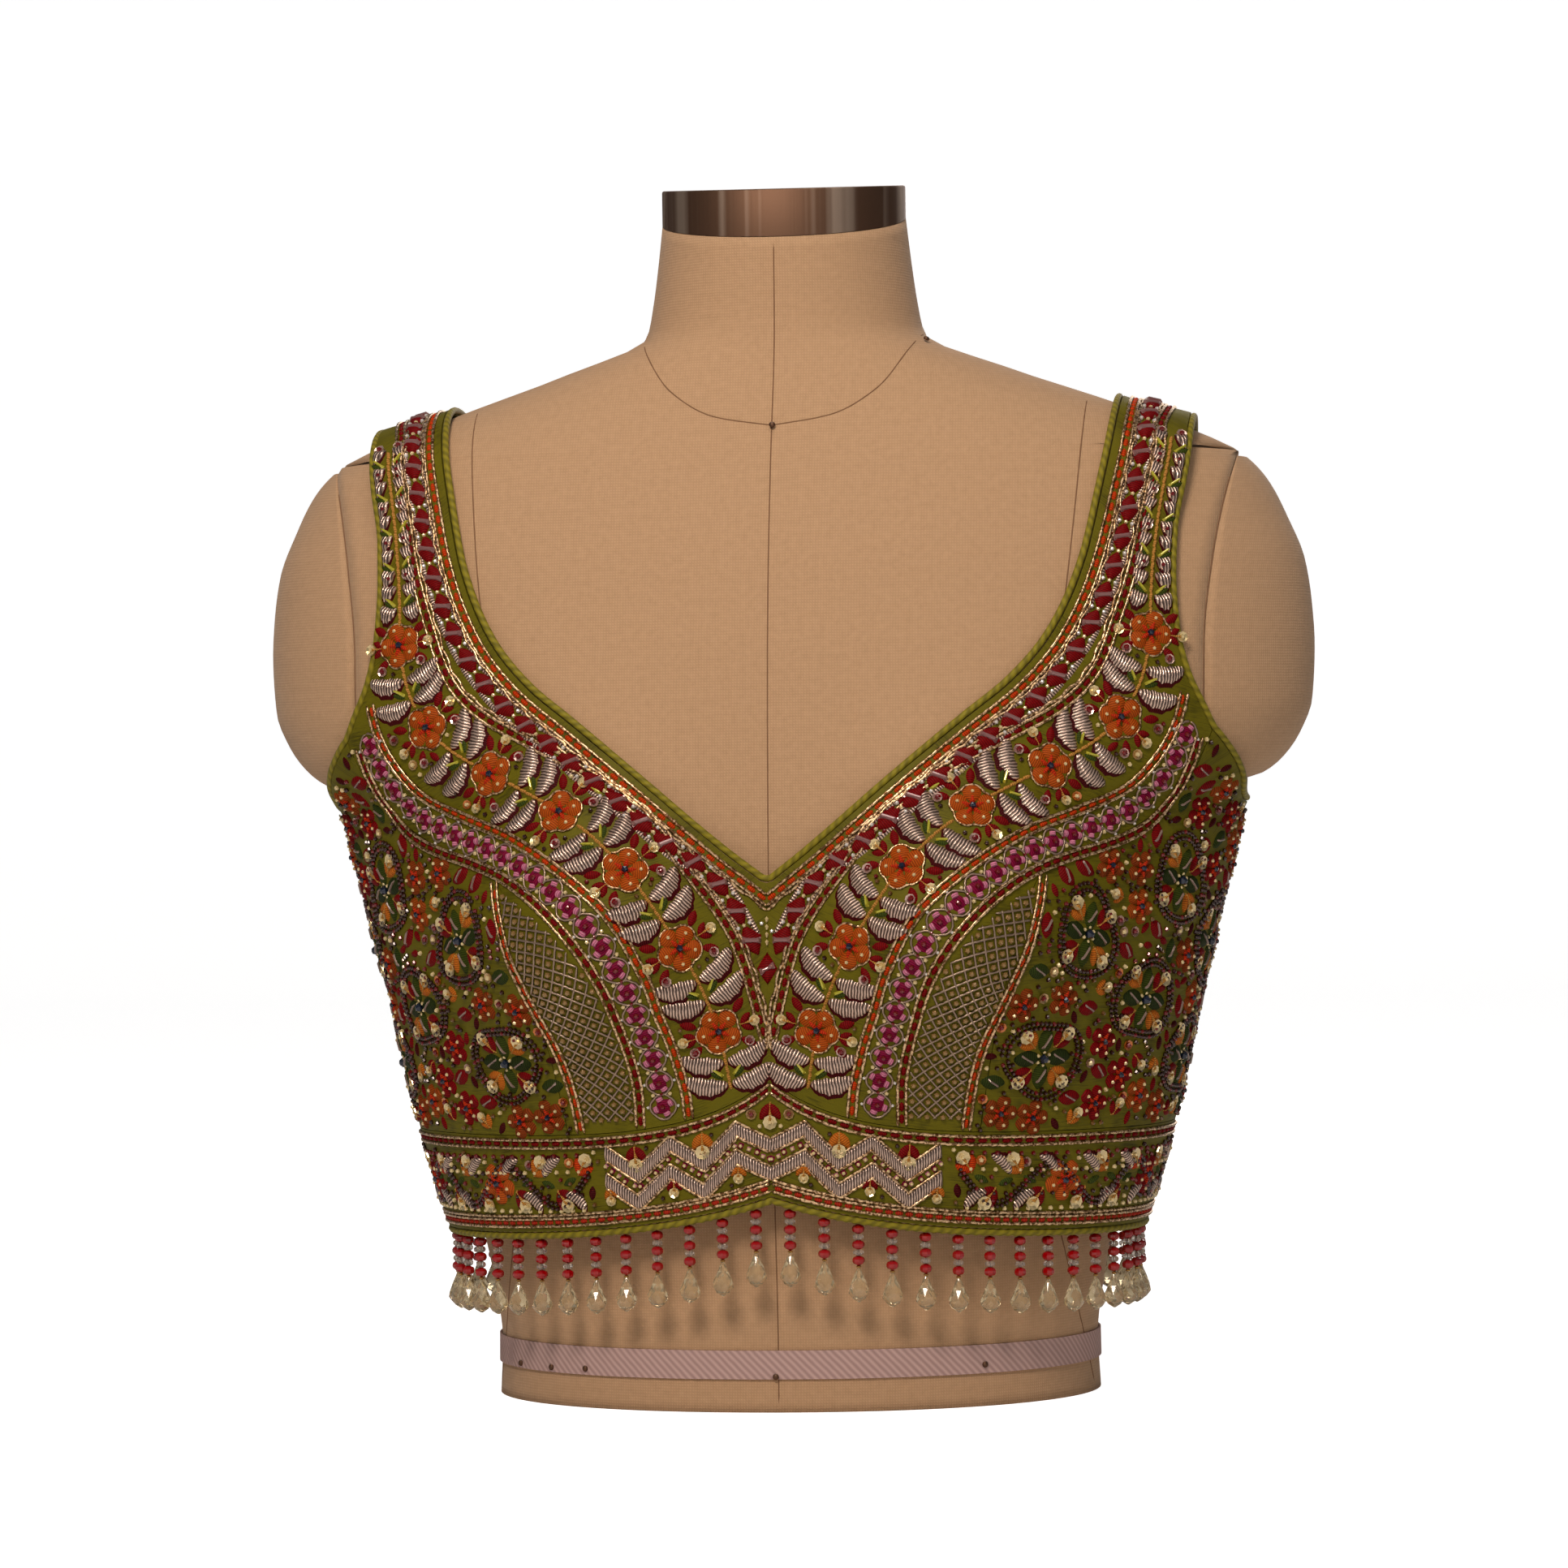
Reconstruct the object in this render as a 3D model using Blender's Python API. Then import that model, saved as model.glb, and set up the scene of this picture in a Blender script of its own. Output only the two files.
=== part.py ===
"""A sleeveless choli blouse on a limbless dress form, cut level below the waist.

Metres, +Z up. The front faces -Y and the wearer's left is +X. The origin is the middle of the flat base.
The form and the blouse are each a stack of level rounded sections. The blouse's panels are cut from its
own surface, so neighbours share each seam's points and stop a thread's width apart.
"""

import math

import bmesh
import bpy
import numpy as np

# Cloth, piping and clearances
WALL = 0.0020
FINE = 800
SETTLE = 6
SHARP_EDGE = math.radians(50)
SEAM = 0.0003
PIPING_RADIUS = 0.0014
PIPING_LIFT = WALL / 2
ROUNDNESS = 2.1

# Dress form: each row is one level section
FORM_COLUMNS = ("height", "half_width", "front", "back")
FORM_ROWS = (
    (0.0000, 0.1238, 0.0920, 0.0850),
    (0.0211, 0.1229, 0.0900, 0.0840),
    (0.0450, 0.1258, 0.0915, 0.0850),
    (0.0700, 0.1310, 0.0945, 0.0880),
    (0.1100, 0.1410, 0.0985, 0.0930),
    (0.1500, 0.1520, 0.1010, 0.0985),
    (0.1900, 0.1620, 0.1020, 0.1035),
    (0.2250, 0.1690, 0.1010, 0.1065),
    (0.2440, 0.1710, 0.1000, 0.1080),
    (0.2506, 0.1935, 0.0996, 0.1083),
    (0.2573, 0.2022, 0.0991, 0.1086),
    (0.2673, 0.2092, 0.0984, 0.1090),
    (0.2807, 0.2142, 0.0970, 0.1092),
    (0.3042, 0.2155, 0.0935, 0.1085),
    (0.3200, 0.2146, 0.0900, 0.1070),
    (0.3377, 0.2120, 0.0855, 0.1045),
    (0.3544, 0.2055, 0.0800, 0.1005),
    (0.3712, 0.1968, 0.0735, 0.0945),
    (0.3822, 0.1858, 0.0690, 0.0895),
    (0.3896, 0.1710, 0.0655, 0.0855),
    (0.4047, 0.1310, 0.0580, 0.0760),
    (0.4181, 0.0925, 0.0520, 0.0665),
    (0.4332, 0.0575, 0.0480, 0.0570),
    (0.4449, 0.0548, 0.0470, 0.0530),
    (0.4616, 0.0524, 0.0465, 0.0510),
    (0.4804, 0.0502, 0.0460, 0.0500),
)
BUST_COLUMNS = ("size", "apart", "height", "wide", "over", "under")
FORM_BUST = dict(zip(BUST_COLUMNS, (0.0330, 0.0850, 0.1900, 0.0500, 0.0620, 0.0470)))
NECK_TILT = 0.23
NECK_TILT_FROM = 0.4200
CAP_TOP = 0.4945
CAP_TOP_TILT = 0.11
CAP_BEVEL = 0.0008
TORSO_SIDE_FROM = math.radians(66)
TORSO_FACE_POINTS = 11
TORSO_SIDE_POINTS = 6
TORSO_RINGS = 13
TORSO_RINGS_FROM, TORSO_RINGS_TO = 0.0400, 0.2300
ARM_RINGS = (
    *(0.2440, 0.2465, 0.2495, 0.2530, 0.2600, 0.2700),
    *(0.2820, 0.2980, 0.3150, 0.3320, 0.3470, 0.3600),
)
NECK_RINGS = (
    *(0.3700, 0.3780, 0.3840, 0.3900, 0.3970, 0.4050, 0.4120),
    *(0.4185, 0.4260, 0.4340, 0.4449, 0.4616, 0.4804),
)
SHOULDER_LEVELS = 17
SHOULDER_POINTS = 13
ARM_PLATE_COLUMNS = ("height", "half_width")
ARM_PLATE_ROWS = (
    (0.2440, 0.1706),
    (0.3042, 0.1714),
    (0.3377, 0.1752),
    (0.3600, 0.1796),
    (0.3822, 0.1856),
)
SHOULDER_RANGE = (0.2462, 0.3795)
TAPE_BOTTOM = 0.0131
TAPE_HEIGHT = 0.0113
TAPE_THICK = 0.0008

# Blouse surface: the inside of the cloth, level by level
CLOTH_COLUMNS = ("height", "half_width", "front", "back")
CLOTH_ROWS = (
    (0.0600, 0.1408, 0.1050, 0.1010),
    (0.0700, 0.1425, 0.1058, 0.1015),
    (0.0900, 0.1482, 0.1068, 0.1022),
    (0.1100, 0.1540, 0.1072, 0.1030),
    (0.1367, 0.1598, 0.1072, 0.1045),
    (0.1601, 0.1650, 0.1070, 0.1062),
    (0.1800, 0.1698, 0.1066, 0.1075),
    (0.2003, 0.1748, 0.1058, 0.1088),
    (0.2204, 0.1796, 0.1045, 0.1098),
    (0.2400, 0.1855, 0.1030, 0.1104),
    (0.2506, 0.1980, 0.1020, 0.1106),
    (0.2573, 0.2044, 0.1013, 0.1107),
    (0.2673, 0.2112, 0.1003, 0.1110),
    (0.2807, 0.2164, 0.0988, 0.1112),
    (0.3042, 0.2180, 0.0953, 0.1105),
    (0.3200, 0.2171, 0.0917, 0.1090),
    (0.3377, 0.2147, 0.0872, 0.1065),
    (0.3544, 0.2087, 0.0817, 0.1025),
    (0.3712, 0.2006, 0.0752, 0.0965),
    (0.3822, 0.1905, 0.0708, 0.0915),
    (0.3896, 0.1760, 0.0674, 0.0876),
    (0.4047, 0.1365, 0.0600, 0.0782),
    (0.4181, 0.0985, 0.0540, 0.0688),
    (0.4332, 0.0635, 0.0500, 0.0594),
)
CLOTH_BUST = dict(zip(BUST_COLUMNS, (0.0335, 0.0840, 0.1880, 0.0560, 0.0600, 0.0500)))
STRAP_ARCH = 0.0026
STRAP_ARCH_FROM = 0.1400
STRAP_ARCH_TO = 0.1700
STRAP_ARCH_HEIGHTS = (0.3500, 0.3800)

# Blouse outlines: half widths from the centre line at each height
HEM = 0.0697
HEM_RISE = 0.0173
HEM_REACH = 0.0560
BAND_TOP = 0.1100
BAND_TOP_RISE = 0.0232
BAND_TOP_REACH = 0.0280
POINT_END = 0.1420
STRAP_TURN = 0.3400
STRAP_MIDDLE = 0.1500
OUTLINE_COLUMNS = ("height", "half_width")
NECKLINE = {
    "front": (
        (0.2122, 0.0000),
        (0.2218, 0.0126),
        (0.2330, 0.0262),
        (0.2473, 0.0428),
        (0.2633, 0.0618),
        (0.2762, 0.0774),
        (0.2890, 0.0932),
        (0.3053, 0.1075),
        (0.3217, 0.1165),
        (0.3416, 0.1235),
        (0.3622, 0.1285),
        (0.3833, 0.1330),
        (0.4100, 0.1370),
    ),
    "back": (
        (0.2260, 0.0000),
        (0.2270, 0.0200),
        (0.2310, 0.0420),
        (0.2400, 0.0640),
        (0.2530, 0.0820),
        (0.2700, 0.0960),
        (0.2950, 0.1080),
        (0.3200, 0.1155),
        (0.3416, 0.1210),
        (0.3622, 0.1275),
        (0.3833, 0.1330),
        (0.4100, 0.1370),
    ),
}
ARMHOLE_JOIN = 0.2680
ARMHOLE_LOW = 0.2395
ARMHOLE = {
    "front": (
        (0.2680, 0.1765),
        (0.2767, 0.1726),
        (0.2930, 0.1655),
        (0.3094, 0.1620),
        (0.3294, 0.1608),
        (0.3491, 0.1616),
        (0.3700, 0.1646),
        (0.4000, 0.1680),
    ),
    "back": (
        (0.2680, 0.1750),
        (0.2767, 0.1705),
        (0.2930, 0.1640),
        (0.3094, 0.1605),
        (0.3294, 0.1598),
        (0.3491, 0.1614),
        (0.3700, 0.1646),
        (0.4000, 0.1680),
    ),
}
SIDE_SEAM_RUN = {
    "front": (
        (0.1100, 0.0806),
        (0.1489, 0.0876),
        (0.1762, 0.0942),
        (0.1936, 0.0996),
        (0.2100, 0.1052),
        (0.2186, 0.1165),
        (0.2286, 0.1400),
        (0.2440, 0.1600),
        (0.2680, 0.1735),
    ),
    "back": (
        (0.1100, 0.0760),
        (0.1500, 0.0830),
        (0.1800, 0.0925),
        (0.2050, 0.1060),
        (0.2250, 0.1230),
        (0.2440, 0.1460),
        (0.2680, 0.1720),
    ),
}
SEAM_MEETS_ARMHOLE_SLOPE = 0.5
LOWER_ROWS = 7
MIDDLE_ROWS = 9
STRAP_ROWS = 6
SHOULDER_ROWS = 5
CENTRE_COLUMNS = 9
SIDE_COLUMNS = 7
BAND_ROWS = 3
COLUMN_EASE = 1.35
SIDE_TURN = math.pi / 2
SIDE_SEAM_TURN = 0.0011

# Zigzag: two padded ribbons sewn along the front band
ZIGZAG_HALF_WIDTH = 0.0024
ZIGZAG_THICK = 0.0012
ZIGZAG_TEETH = 5
ZIGZAG_PITCH = 0.0264
ZIGZAG_SWING = 0.0052
ZIGZAG_ABOVE_HEM = {"zigzag_upper": 0.0252, "zigzag_lower": 0.0142}
ZIGZAG_STEPS = 4

# Bead fringe: strands on a tape inside the hem
FRINGE_STRANDS = 58
FRINGE_TAPE_GAP = 0.0016
FRINGE_TAPE_THICK = 0.0014
FRINGE_TAPE_HEIGHT = 0.0030
FRINGE_TAPE_ABOVE_HEM = 0.0010
FRINGE_STEM = 0.0007
FRINGE_SAMPLES = 1200
FRINGE_PROFILE = (
    # drop below the hem, half width
    (0.0034, 0.0008),
    (0.0048, 0.0023),
    (0.0198, 0.0018),
    (0.0290, 0.0038),
    (0.0340, 0.0012),
)

LINEN = {"name": "beige_linen", "colour": (0.50, 0.33, 0.20), "rough": 0.85, "metal": 0.0}
STEEL = {"name": "brushed_steel", "colour": (0.45, 0.40, 0.37), "rough": 0.30, "metal": 1.0}
TAPE = {"name": "lilac_tape", "colour": (0.48, 0.34, 0.33), "rough": 0.80, "metal": 0.0}
SILK = {"name": "olive_silk", "colour": (0.20, 0.17, 0.03), "rough": 0.60, "metal": 0.0}
PIPING = {"name": "green_piping", "colour": (0.27, 0.22, 0.04), "rough": 0.65, "metal": 0.0}
SILVER_THREAD = {"name": "silver_thread", "colour": (0.45, 0.38, 0.33), "rough": 0.35, "metal": 0.6}
CRYSTAL = {"name": "champagne_crystal", "colour": (0.60, 0.48, 0.28), "rough": 0.05, "metal": 0.0}


def clear_scene():
    for old in list(bpy.data.objects):
        bpy.data.objects.remove(old, do_unlink=True)


def column(rows, names, name):
    return np.array([row[names.index(name)] for row in rows], float)


def smooth(at, xs, ys):
    """Monotone cubic curve through the points, held level past both ends."""
    step = np.diff(xs)
    slope = np.diff(ys) / step
    tangent = np.zeros(len(xs))
    tangent[0], tangent[-1] = slope[0], slope[-1]
    before, after = slope[:-1], slope[1:]
    same = before * after > 0
    left = 2 * step[1:] + step[:-1]
    right = step[1:] + 2 * step[:-1]
    safe_before = np.where(same, before, 1.0)
    safe_after = np.where(same, after, 1.0)
    tangent[1:-1] = np.where(same, (left + right) / (left / safe_before + right / safe_after), 0.0)
    at = np.clip(np.asarray(at, float), xs[0], xs[-1])
    k = np.clip(np.searchsorted(xs, at, side="right") - 1, 0, len(xs) - 2)
    u = (at - xs[k]) / step[k]
    return (
        ys[k] * (1 + 2 * u) * (1 - u) ** 2
        + tangent[k] * step[k] * u * (1 - u) ** 2
        + ys[k + 1] * u * u * (3 - 2 * u)
        + tangent[k + 1] * step[k] * u * u * (u - 1)
    )


def ramp(value, low, high):
    """0 below low, 1 above high, and smooth in between."""
    u = np.clip((value - low) / (high - low), 0, 1)
    return u * u * (3 - 2 * u)


class Body:
    """A stack of level rounded sections with two soft mounds on the front."""

    def __init__(self, rows, columns, bust):
        self.heights = column(rows, columns, "height")
        self.sizes = {n: column(rows, columns, n) for n in columns[1:]}
        self.bust = bust

    def size(self, name, z):
        return smooth(z, self.heights, self.sizes[name])

    def mounds(self, x, z):
        b = self.bust
        tall = np.where(z > b["height"], b["over"], b["under"])
        across = np.exp(-(((np.abs(x) - b["apart"]) / b["wide"]) ** 2))
        return b["size"] * across * np.exp(-(((z - b["height"]) / tall) ** 2))

    def front_depth(self, x, z):
        return self.size("front", z) + self.mounds(x, z)

    def around(self, turn, z):
        """A point at this turn from the front, in radians, on the section at height z."""
        turn, z = np.broadcast_arrays(np.asarray(turn, float), np.asarray(z, float))
        power = 2 / ROUNDNESS
        s, c = np.sin(turn), np.cos(turn)
        x = self.size("half_width", z) * np.sign(s) * np.abs(s) ** power
        depth = np.where(c > 0, self.front_depth(x, z), self.size("back", z))
        return np.stack([x, -np.sign(c) * depth * np.abs(c) ** power, z], axis=-1)

    def at(self, x, z, face):
        """A point of the front or back at this x and height."""
        x, z = np.broadcast_arrays(np.asarray(x, float), np.asarray(z, float))
        share = np.clip(np.abs(x) / self.size("half_width", z), 0, 1)
        reach = (1 - share**ROUNDNESS) ** (1 / ROUNDNESS)
        y = -self.front_depth(x, z) * reach if face == "front" else self.size("back", z) * reach
        return np.stack([x, y, z], axis=-1)

    def turn_of(self, x, z, face):
        """The turn at which around() gives the point that at() gives."""
        share = np.clip(np.abs(x) / self.size("half_width", z), 0, 1)
        turn = np.arcsin(share ** (ROUNDNESS / 2))
        return np.where(np.asarray(x) < 0, -1, 1) * (turn if face == "front" else math.pi - turn)

    def ridge(self, x):
        """Height of the shoulder line at this x."""
        heights = np.linspace(STRAP_TURN, self.heights[-1], FINE)
        widths = self.size("half_width", heights)
        return np.interp(-np.abs(x), -widths, heights)

    def normal(self, points):
        """Outward direction, from the slope of the section formula."""

        def level(p):
            x, y, z = p[..., 0], p[..., 1], p[..., 2]
            depth = np.where(y < 0, self.front_depth(x, z), self.size("back", z))
            wide = (np.abs(x) / self.size("half_width", z)) ** ROUNDNESS
            return wide + (np.abs(y) / depth) ** ROUNDNESS

        step = 0.0002
        slopes = [level(points + step * axis) - level(points - step * axis) for axis in np.eye(3)]
        slopes = np.stack(slopes, axis=-1)
        return slopes / np.linalg.norm(slopes, axis=-1, keepdims=True)


FORM = Body(FORM_ROWS, FORM_COLUMNS, FORM_BUST)
CLOTH = Body(CLOTH_ROWS, CLOTH_COLUMNS, CLOTH_BUST)


def strap_arch(points):
    """How far a strap's outer edge stands off the shoulder."""
    x, z = np.abs(points[..., 0]), points[..., 2]
    return STRAP_ARCH * ramp(x, STRAP_ARCH_FROM, STRAP_ARCH_TO) * ramp(z, *STRAP_ARCH_HEIGHTS)


def off_cloth(points, distance):
    """Points of the blouse's surface moved out from the inside of the cloth."""
    lift = strap_arch(points) + distance
    return points + CLOTH.normal(points) * lift[..., None]


def over_shoulder(x, share, face):
    """A point of the blouse's surface between the strap's turn, share 0, and the shoulder line, share 1."""
    x, share = np.broadcast_arrays(np.asarray(x, float), np.asarray(share, float))
    rise = CLOTH.ridge(x) - STRAP_TURN
    return CLOTH.at(x, STRAP_TURN + rise * np.sin(share * math.pi / 2), face)


def offset_outline(rows, distance):
    """Heights and half widths of an outline moved sideways, away from the centre line if distance is positive."""
    z = column(rows, OUTLINE_COLUMNS, "height")
    x = column(rows, OUTLINE_COLUMNS, "half_width")
    fine = np.linspace(0, 1, FINE)
    along = np.concatenate([[0], np.cumsum(np.hypot(np.diff(x), np.diff(z)))])
    along /= along[-1]
    fx, fz = smooth(fine, along, x), smooth(fine, along, z)
    dx, dz = np.gradient(fx), np.gradient(fz)
    size = np.hypot(dx, dz)
    fx, fz = fx + distance * dz / size, fz - distance * dx / size
    keep = fx >= 0
    return fz[keep], fx[keep]


PIPING_SPACE = 2 * PIPING_RADIUS + SEAM
NECK_EDGE = {face: offset_outline(NECKLINE[face], PIPING_SPACE) for face in NECKLINE}
ARM_EDGE = {face: offset_outline(ARMHOLE[face], -PIPING_SPACE) for face in ARMHOLE}


def neck_x(z, face):
    heights, widths = NECK_EDGE[face]
    return np.where(z <= heights[0], 0.0, np.interp(z, heights, widths))


def arm_x(z, face):
    return np.interp(z, *ARM_EDGE[face])


def seam_x(z, face):
    rows = SIDE_SEAM_RUN[face]
    run = smooth(z, column(rows, OUTLINE_COLUMNS, "height"), column(rows, OUTLINE_COLUMNS, "half_width"))
    reach = arm_x(ARMHOLE_JOIN, face) + np.maximum(ARMHOLE_JOIN - z, 0) * SEAM_MEETS_ARMHOLE_SLOPE
    return np.minimum(run, reach)


def stations(edge_x, face, low, high, count):
    """Heights that divide an edge evenly by its length, with the edge's half widths there."""
    z = np.linspace(low, high, FINE)
    x = edge_x(z, face)
    along = np.concatenate([[0], np.cumsum(np.hypot(np.diff(x), np.diff(z)))])
    at = np.linspace(0, along[-1], count)
    return np.interp(at, along, z), np.interp(at, along, x)


def beside(x, z, distance):
    """Points moved square to their own line, away from the centre line for a rising line."""
    dx, dz = np.gradient(x), np.gradient(z)
    size = np.hypot(dx, dz)
    return x + distance * dz / size, z - distance * dx / size


def point_rise(x, rise, reach, face):
    """The pointed rise of the band's edges: steepest at the centre front and gone at the sides."""
    end = math.exp(-POINT_END / reach)
    share = (np.exp(-np.abs(x) / reach) - end) / (1 - end)
    return rise * np.maximum(share, 0) * (face == "front")


def band_top(x, face):
    return BAND_TOP + point_rise(x, BAND_TOP_RISE, BAND_TOP_REACH, face)


def hem(x, face):
    return HEM + point_rise(x, HEM_RISE, HEM_REACH, face)


def link(name, mesh, material, smooth_shading=True):
    obj = bpy.data.objects.new(name, mesh)
    bpy.context.scene.collection.objects.link(obj)
    mesh.materials.append(shader(material))
    if smooth_shading:
        mesh.shade_smooth()
        mesh.set_sharp_from_angle(angle=SHARP_EDGE)
    return obj


def shader(look):
    found = bpy.data.materials.get(look["name"])
    if found:
        return found
    material = bpy.data.materials.new(look["name"])
    material.use_nodes = True
    node = material.node_tree.nodes["Principled BSDF"]
    node.inputs["Base Color"].default_value = (*look["colour"], 1)
    node.inputs["Roughness"].default_value = look["rough"]
    node.inputs["Metallic"].default_value = look["metal"]
    return material


def solid(name, points, faces, material):
    """A closed solid from points and faces, with its faces turned outwards."""
    mesh = bpy.data.meshes.new(name)
    mesh.from_pydata([tuple(p) for p in points], [], faces)
    bm = bmesh.new()
    bm.from_mesh(mesh)
    bmesh.ops.recalc_face_normals(bm, faces=bm.faces)
    bm.to_mesh(mesh)
    bm.free()
    return link(name, mesh, material)


def wall(name, inner, outer, quads, material):
    """Cloth between matching inner and outer points, closed round every free edge."""
    count = len(inner)
    faces = [tuple(q) for q in quads] + [tuple(count + q[k] for k in (0, 3, 2, 1)) for q in quads]
    edges = {}
    for quad in quads:
        for a, b in zip(quad, (*quad[1:], quad[0])):
            edges.setdefault(frozenset((a, b)), []).append((a, b))
    for used in edges.values():
        if len(used) == 1:
            a, b = used[0]
            faces.append((b, a, count + a, count + b))
    return solid(name, np.concatenate([inner, outer]), faces, material)


def grid_quads(rows, columns, first=0):
    quads = []
    for r in range(rows - 1):
        for c in range(columns - 1):
            a = first + r * columns + c
            quads.append((a, a + 1, a + columns + 1, a + columns))
    return quads


def cloth_wall(name, grid, material, low=0.0, thick=WALL):
    """A wall over one grid of points of the blouse's surface."""
    rows, columns = grid.shape[:2]
    flat = grid.reshape(-1, 3)
    return wall(name, off_cloth(flat, low), off_cloth(flat, low + thick), grid_quads(rows, columns), material)


def seam_line(face, away):
    """The side seam's stations from the band to the armhole, moved this far from the centre line."""
    foot = NECK_EDGE[face][0][0]
    low_z, low_x = stations(seam_x, face, BAND_TOP, foot, LOWER_ROWS + 1)
    high_z, high_x = stations(seam_x, face, foot, ARMHOLE_JOIN, MIDDLE_ROWS + 1)
    x, z = np.concatenate([low_x, high_x[1:]]), np.concatenate([low_z, high_z[1:]])
    x, z = beside(x, z, away)
    z[0] = band_top(x[0], face)
    return x, z


def centre_grid(face):
    """Half of a centre panel, from its centre line or neckline out to its side seam or armhole."""
    foot = NECK_EDGE[face][0][0]
    share = np.linspace(0, 1, CENTRE_COLUMNS) ** COLUMN_EASE
    out_x, out_z = seam_line(face, -SEAM / 2)
    arm_z, arm = stations(arm_x, face, ARMHOLE_JOIN, STRAP_TURN, STRAP_ROWS + 1)
    out_x, out_z = np.concatenate([out_x, arm[1:]]), np.concatenate([out_z, arm_z[1:]])
    in_z, in_x = stations(neck_x, face, foot, STRAP_TURN, MIDDLE_ROWS + STRAP_ROWS + 1)
    rows = []
    for k in range(LOWER_ROWS):
        x = share * out_x[k]
        rise = (out_z[k] - out_z[0]) / (out_z[LOWER_ROWS] - out_z[0])
        top = foot + share * (out_z[LOWER_ROWS] - foot)
        low = band_top(x, face) + SEAM / 2
        rows.append(CLOTH.at(x, low + rise * (top - low), face))
    for k in range(MIDDLE_ROWS + STRAP_ROWS + 1):
        x = in_x[k] + share * (out_x[LOWER_ROWS + k] - in_x[k])
        z = in_z[k] + share * (out_z[LOWER_ROWS + k] - in_z[k])
        rows.append(CLOTH.at(x, z, face))
    for turn in np.linspace(0, 1, SHOULDER_ROWS + 1)[1:]:
        z = STRAP_TURN + (CLOTH.ridge(STRAP_MIDDLE) - STRAP_TURN) * np.sin(turn * math.pi / 2)
        x = neck_x(z, face) + share * (arm_x(z, face) - neck_x(z, face))
        rows.append(over_shoulder(x, turn, face))
    rows[-1][..., 1] = -SEAM / 2 if face == "front" else SEAM / 2
    return np.array(rows), LOWER_ROWS + 1


def side_grid(face, side):
    """A side panel, from the side seam to the centre panel, its top edge the armhole's foot."""
    seam_edge, seam_z = seam_line(face, SEAM / 2)
    join = (seam_z - seam_z[0]) / (seam_z[-1] - seam_z[0])
    at_side = BAND_TOP + join * (ARMHOLE_LOW - BAND_TOP)
    side_turn = SIDE_TURN + (-SIDE_SEAM_TURN if face == "front" else SIDE_SEAM_TURN)
    seam_turn = CLOTH.turn_of(seam_edge, seam_z, face)
    share = np.linspace(0, 1, SIDE_COLUMNS)
    turn = side_turn + share * (seam_turn[:, None] - side_turn)
    z = at_side[:, None] + (seam_z - at_side)[:, None] * share**2
    for _ in range(SETTLE):
        z[0] = band_top(CLOTH.around(turn[0], z[0])[..., 0], face) + SEAM / 2
    grid = CLOTH.around(turn, z)
    grid[..., 0] *= side
    return grid


def build_centre_front():
    """One piece from strap to strap: two halves that share the centre line below the neckline."""
    half, shared_rows = centre_grid("front")
    rows, columns = half.shape[:2]
    right = half * (-1, 1, 1)
    points = np.concatenate([half.reshape(-1, 3), right.reshape(-1, 3)])
    quads = grid_quads(rows, columns)
    other = [(a, d, c, b) for a, b, c, d in grid_quads(rows, columns, rows * columns)]
    same = {rows * columns + r * columns: r * columns for r in range(shared_rows)}
    quads += [tuple(same.get(i, i) for i in quad) for quad in other]
    used = sorted({i for quad in quads for i in quad})
    renumber = {old: new for new, old in enumerate(used)}
    quads = [tuple(renumber[i] for i in quad) for quad in quads]
    points = points[used]
    wall("front_centre", off_cloth(points, 0), off_cloth(points, WALL), quads, SILK)


def build_backs():
    for side, word in ((1, "left"), (-1, "right")):
        grid, _ = centre_grid("back")
        gap = np.maximum(SEAM / 2 - grid[..., 0], 0)
        grid[..., 0] = (grid[..., 0] + gap) * side
        cloth_wall(f"back_centre_{word}", grid, SILK)


def build_sides():
    for face in ("front", "back"):
        for side, word in ((1, "left"), (-1, "right")):
            cloth_wall(f"{face}_side_{word}", side_grid(face, side), SILK)


def band_turns(face):
    """Turns of the band's columns from the centre line to the side, the same as those of the panels above."""
    centre = centre_grid(face)[0][0]
    side = side_grid(face, 1)[0][::-1]
    points = np.concatenate([centre, side[1:]])
    return CLOTH.turn_of(points[:, 0], points[:, 2], face)


def band_grid(face, turn):
    """The band between hem and bodice through these turns."""
    share = np.linspace(0, 1, BAND_ROWS + 1)[:, None]
    low = hem(CLOTH.around(turn, HEM)[..., 0], face)
    high = BAND_TOP + 0 * turn
    for _ in range(SETTLE):
        high = band_top(CLOTH.around(turn, high)[..., 0], face) - SEAM / 2
    return CLOTH.around(turn, low + share * (high - low))


def build_bands():
    turn = band_turns("front")
    cloth_wall("front_band", band_grid("front", np.concatenate([-turn[:0:-1], turn])), SILK)
    turn = band_turns("back")
    turn[0] = CLOTH.turn_of(SEAM / 2, BAND_TOP, "back")
    cloth_wall("back_band_left", band_grid("back", turn), SILK)
    cloth_wall("back_band_right", band_grid("back", -turn), SILK)


def tube(name, path, radius, material, closed=False, sides=6):
    """A round piping along a path of points."""
    curve = bpy.data.curves.new(name, "CURVE")
    curve.dimensions = "3D"
    curve.bevel_depth = radius
    curve.bevel_resolution = (sides - 4) // 2
    curve.use_fill_caps = not closed
    spline = curve.splines.new("POLY")
    spline.points.add(len(path) - 1)
    spline.points.foreach_set("co", np.c_[path, np.ones(len(path))].ravel())
    spline.use_cyclic_u = closed
    spline.use_smooth = True
    obj = bpy.data.objects.new(name, curve)
    bpy.context.scene.collection.objects.link(obj)
    curve.materials.append(shader(material))
    return obj


def beside_edge(edge, outward_sign):
    """Piping's centre line: beside a cloth edge, at the middle of the wall."""
    middle = off_cloth(edge, PIPING_LIFT)
    along = np.gradient(edge, axis=0)
    across = np.cross(CLOTH.normal(edge), along)
    across /= np.linalg.norm(across, axis=1, keepdims=True)
    return middle + outward_sign * across * (SEAM + PIPING_RADIUS)


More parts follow.
